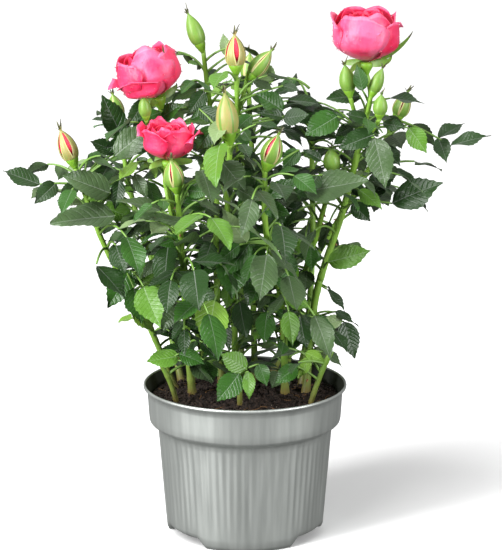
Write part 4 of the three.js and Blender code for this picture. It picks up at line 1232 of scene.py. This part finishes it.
def add_bud(start, tip, radius, showing, slit, seed, tinted=False):
    """A bud on its hip, from its foot to the tip of its sepals."""
    random = np.random.default_rng(seed)
    start, tip = np.array(start, float), np.array(tip, float)
    length, turn = math.dist(start, tip), upright_turn(start, tip)
    radius *= BUD_FULLNESS
    foot, body_length = BUD_FOOT * length, BUD_BODY * length
    green_heap.add(start + HIP[0] * [0.74 * radius, 0.74 * radius, BUD_HIP * length] @ turn, HIP[1])
    body = BODY[0].copy()
    folds = 1 + 0.04 * np.cos(3 * np.arctan2(body[:, 1], body[:, 0]) + 6 * body[:, 2])
    body[:, :2] *= ((0.85 + 0.1 * showing) * radius * folds)[:, None]
    body[:, 2] = foot + body[:, 2] * body_length
    bud_heap.add(start + body @ turn, BODY[1])
    marks = {MARGIN_MARK: SEPAL_MARK} if showing < CLOSED_BELOW else {}
    if tinted:
        marks[SEPAL_MARK] = TINTED_MARK
    for k in range(5):
        sector = math.radians(slit) + math.tau * (k + 0.5) / 5 + random.uniform(-0.06, 0.06)
        gap = showing * (1 if k in (0, 4) else random.uniform(0.1, 0.5))
        flare = random.uniform(0.4, 1.8) + 1.6 * showing
        sway = random.uniform(-1.6, 1.6)
        reach = (length - foot - body_length) * SEPAL_REACHES[k]
        placed = []
        for x, y, _ in BUD_SEPAL[0]:
            share, past = min(1, x / SEPAL_TIP), max(0, x - SEPAL_TIP) / (1 - SEPAL_TIP)
            half = SEPAL_HALF * (1 - 0.5 * gap * math.sin(min(1, share * 1.5) * math.pi / 2))
            out = radius * np.interp(share, *SEPAL_RINGS) + 0.15 + flare * past ** 1.5
            wide = 1.05 - 0.8 * past if past else min(half * out, 0.42 + 14 * (1 - share))
            turned = sector + y * wide / max(out, 0.6)
            shift = sway * past ** 2
            placed.append((
                out * math.cos(turned) - shift * math.sin(sector),
                out * math.sin(turned) + shift * math.cos(sector),
                foot + share * body_length + past * reach,
            ))
        green_heap.add(start + placed @ turn, BUD_SEPAL[1], [marks.get(m, m) for m in BUD_SEPAL[2]])


def add_long_sepal(base, middle, tip, outward):
    """A long narrow sepal that bends from its foot at the hip to its dark tip."""
    curve = bowed(base, middle, tip)
    placed = []
    for x, y, _ in LONG_SEPAL[0]:
        side = unit(crossed(curve.ahead(x), outward))
        taper = (1 - x) ** 0.7 * 0.5 + 0.3 * math.sin(math.pi * x) * (1 - x)
        half = 0.22 + LONG_SEPAL_WIDTH * taper
        placed.append(curve.at(x) + side * y * half - outward * 0.3 * y * y * half)
    green_heap.add(placed, *LONG_SEPAL[1:])


def petal_points(azimuth, half, belly, rim, height, curl, point, random, ruffle=1):
    """The points of one petal in its bloom's own frame."""
    wave, phase = ruffle * random.uniform(0.15, 0.5), random.uniform(0, 6)
    skew = random.uniform(-0.08, 0.08)
    placed = []
    for x, y, _ in PETAL[0]:
        across, along = 2 * x, y + 0.5
        swell = math.sin(min(1, along / 0.4) * math.pi / 2) ** 0.8
        upper, lip = max(0, along - 0.5) / 0.5, max(0, along - 0.78) / 0.22
        radius = 2 + (belly - 2) * swell + (rim - belly) * upper ** 1.6
        radius += curl * (0.9 * lip ** 2 + 1.6 * lip * across ** 4)
        radius += wave * math.sin(phase + (3.6 + ruffle) * across) * upper ** 2
        radius += 1.1 * across * along
        rise = 1 + (height - 1) * along ** 0.92 * (1 - 0.2 * abs(across) ** 2.4 * along * along)
        rise += point * (1 - abs(across)) ** 1.4 * along ** 7 - curl * 0.8 * lip ** 2
        rise += 0.7 * wave * math.sin(2 * phase + (4 + 2 * ruffle) * across) * along ** 5
        opened = math.radians(half) * (0.4 + 0.6 * math.sin(min(1, along * 1.35) * math.pi / 2))
        angle = math.radians(azimuth) + across * opened * (1 - 0.12 * lip) + skew * along
        placed.append((radius * math.cos(angle), radius * math.sin(angle), rise))
    return np.array(placed)


def petal_material(name, colour, deeper):
    """Soft pink petal skin, silky and faintly crumpled, with a deeper pink that clouds it."""
    material, tree, shader = plain_material(name, colour, 0.46)
    clouds = ranged(tree, grain(tree, 95, 2), (0.44, 0.66))
    crumple = bumped(tree, grain(tree, 260, 3), 0.55, 0.0012)
    ribs = grain(tree, (46, 2.5, 1), 3, add_node(tree, "UVMap", "UV", uv_map="blade"))
    feed(tree, shader, {
        "Sheen Weight": 0.18, "Sheen Roughness": 0.4, "Sheen Tint": srgb(255, 190, 200),
        "Subsurface Weight": 0.2, "Subsurface Radius": (1.0, 0.35, 0.4), "Subsurface Scale": 0.002,
        "Base Color": mixed(tree, clouds, colour, deeper),
        "Normal": bumped(tree, ribs, 0.35, 0.0004, Normal=crumple),
    })
    return material


def sepal_skin(name, colour, other):
    """Smooth green skin, flecked with a second tint, with a fine grain along the bud."""
    material, tree, shader = plain_material(name, colour, 0.45)
    flecks = grain(tree, (520, 520, 150), 3)
    feed(tree, shader, {
        "Subsurface Weight": 0.12, "Subsurface Scale": 0.002,
        "Base Color": mixed(tree, flecks, colour, other),
        "Normal": bumped(tree, flecks, 0.3, 0.0004),
    })
    return material


for number, shoot in enumerate(CANES):
    if shoot["bud"]:
        curve = stems[shoot["name"]]["curve"]
        foot = curve.at(1) - curve.ahead(1) * BUD_SINKS
        add_bud(foot, *shoot["bud"], 500 + number, shoot["name"] in TINTED_BUDS)
for number, (mass, along, foot, *bud) in enumerate(SIDE_BUDS):
    twig = add_twig(stems[mass], along, foot)
    add_bud(np.array(foot) - twig.ahead(1) * SIDE_BUD_SINKS, *bud, 540 + number)

petal_grid = bmesh.new()
bmesh.ops.create_grid(petal_grid, x_segments=PETAL_COLUMNS, y_segments=PETAL_ROWS, size=0.5)
for face in petal_grid.faces:
    face.material_index = 1 if face.calc_center_median().y > 0.5 - RIM_SHARE else 0
PETAL = made_of(petal_grid)
PETAL_FLAT = PETAL[0][:, :2] + 0.5
PETAL_SKINS = [
    petal_material("petal_blush", srgb(240, 96, 138), srgb(234, 44, 96)),
    petal_material("petal_pink", srgb(236, 60, 106), srgb(226, 22, 76)),
    petal_material("petal_heart", srgb(232, 38, 84), srgb(208, 16, 60)),
    petal_material("petal_rim", srgb(240, 118, 152), srgb(238, 84, 126)),
]
drop_points, drop_faces = ball()

for number, bloom in enumerate(BLOOMS):
    random = np.random.default_rng(800 + number)
    stem = stems[bloom["mass"]]
    base, top = np.array(bloom["base"], float), np.array(bloom["top"], float)
    axis, turn = unit(top - base), upright_turn(base, top)
    twig = add_twig(stem, *bloom["twig"]) if bloom["twig"] else stem["curve"]
    start, hip_foot = twig.at(1), base - axis * (HIP_LENGTH - HIP_LAP)
    neck = bowed(start, start + twig.ahead(1) * math.dist(start, hip_foot) * 0.5, hip_foot)
    laid_rod(stalk_heap, neck, 0, 1, even(FLOWER_TWIG, 0.5), 8, 12, 1)
    green_heap.add(hip_foot + HIP[0] * [HIP_RADIUS, HIP_RADIUS, HIP_LENGTH] @ turn, HIP[1])

    bloom_heap = Heap()
    drops = 0 if bloom["name"] == DRY_BLOOM else DROPS // len(bloom["petals"])
    for *form, mark in bloom["petals"]:
        local = petal_points(*form, random, bloom["ruffle"])
        placed = base + local @ turn
        marks = [RIM_MARKS[mark] if rim else mark for rim in PETAL[2]]
        bloom_heap.add(placed, PETAL[1], marks, PETAL_FLAT)
        for _ in range(drops):
            spot, size = random.integers(len(placed)), random.uniform(0.22, 0.6)
            out = unit([*local[spot][:2], 0] @ turn)
            drop_heap.add(drop_points * size + placed[spot] + out * 0.25, drop_faces)
    spread, tall, count = bloom["heart"]
    for k in range(count):
        share = 1 - k / count
        local = petal_points(
            150 + SPIRAL_ANGLE * k, 48 + 40 * (1 - share),
            2.2 + spread * share, 1.2 + 0.82 * spread * share,
            tall * (1 - 0.06 * (1 - share)) + random.uniform(-0.8, 0.6), 0.5 * share,
            random.uniform(0, 1.2), random,
        )
        bloom_heap.add(base + local @ turn, PETAL[1], 2 if k > 2 else 1, PETAL_FLAT)
    piece = bloom_heap.piece("petals_" + bloom["name"], PETAL_SKINS, "petal")
    piece.modifiers.new("thickness", "SOLIDIFY").thickness = PETAL_THICKNESS * MM
    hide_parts(bloom["name"])
    for azimuth, out, up in bloom["sepals"]:
        outward = aim(azimuth, 0) @ turn
        bend = (0.8, 0.42) if up > 10 else (1.05, 0.1)
        add_long_sepal(
            base + outward * 2.4 - axis * 0.3, base + outward * out * bend[0] + axis * up * bend[1],
            base + outward * out + axis * up, unit(outward + SEPAL_FACING),
        )

green_heap.piece("hips_and_sepals", [
    sepal_skin("hip_green", srgb(118, 172, 38), srgb(140, 186, 64)),
    sepal_skin("sepal_green", srgb(90, 136, 42), srgb(134, 166, 74)),
    sepal_skin("sepal_margin", srgb(188, 190, 116), srgb(210, 196, 146)),
    sepal_skin("sepal_tip", srgb(74, 80, 46), srgb(96, 92, 60)),
    sepal_skin("sepal_tinted", srgb(126, 158, 72), srgb(184, 154, 104)),
], "green_stem")
bud_material = petal_material("bud_petal", srgb(232, 62, 84), srgb(222, 40, 70))
bud_heap.piece("bud_petals", [bud_material], "petal")
drop_material, tree, shader = plain_material("water", srgb(255, 255, 255), 0.05)
feed(tree, shader, {"Transmission Weight": 1, "IOR": 1.33})
drop_heap.piece("water_drops", [drop_material], "petal")
stalk_material = plain_material("stalk_green", srgb(112, 150, 66), 0.5)[0]
stalk_heap.piece("stalks_and_twigs", [stalk_material, cane_material], "leaf")
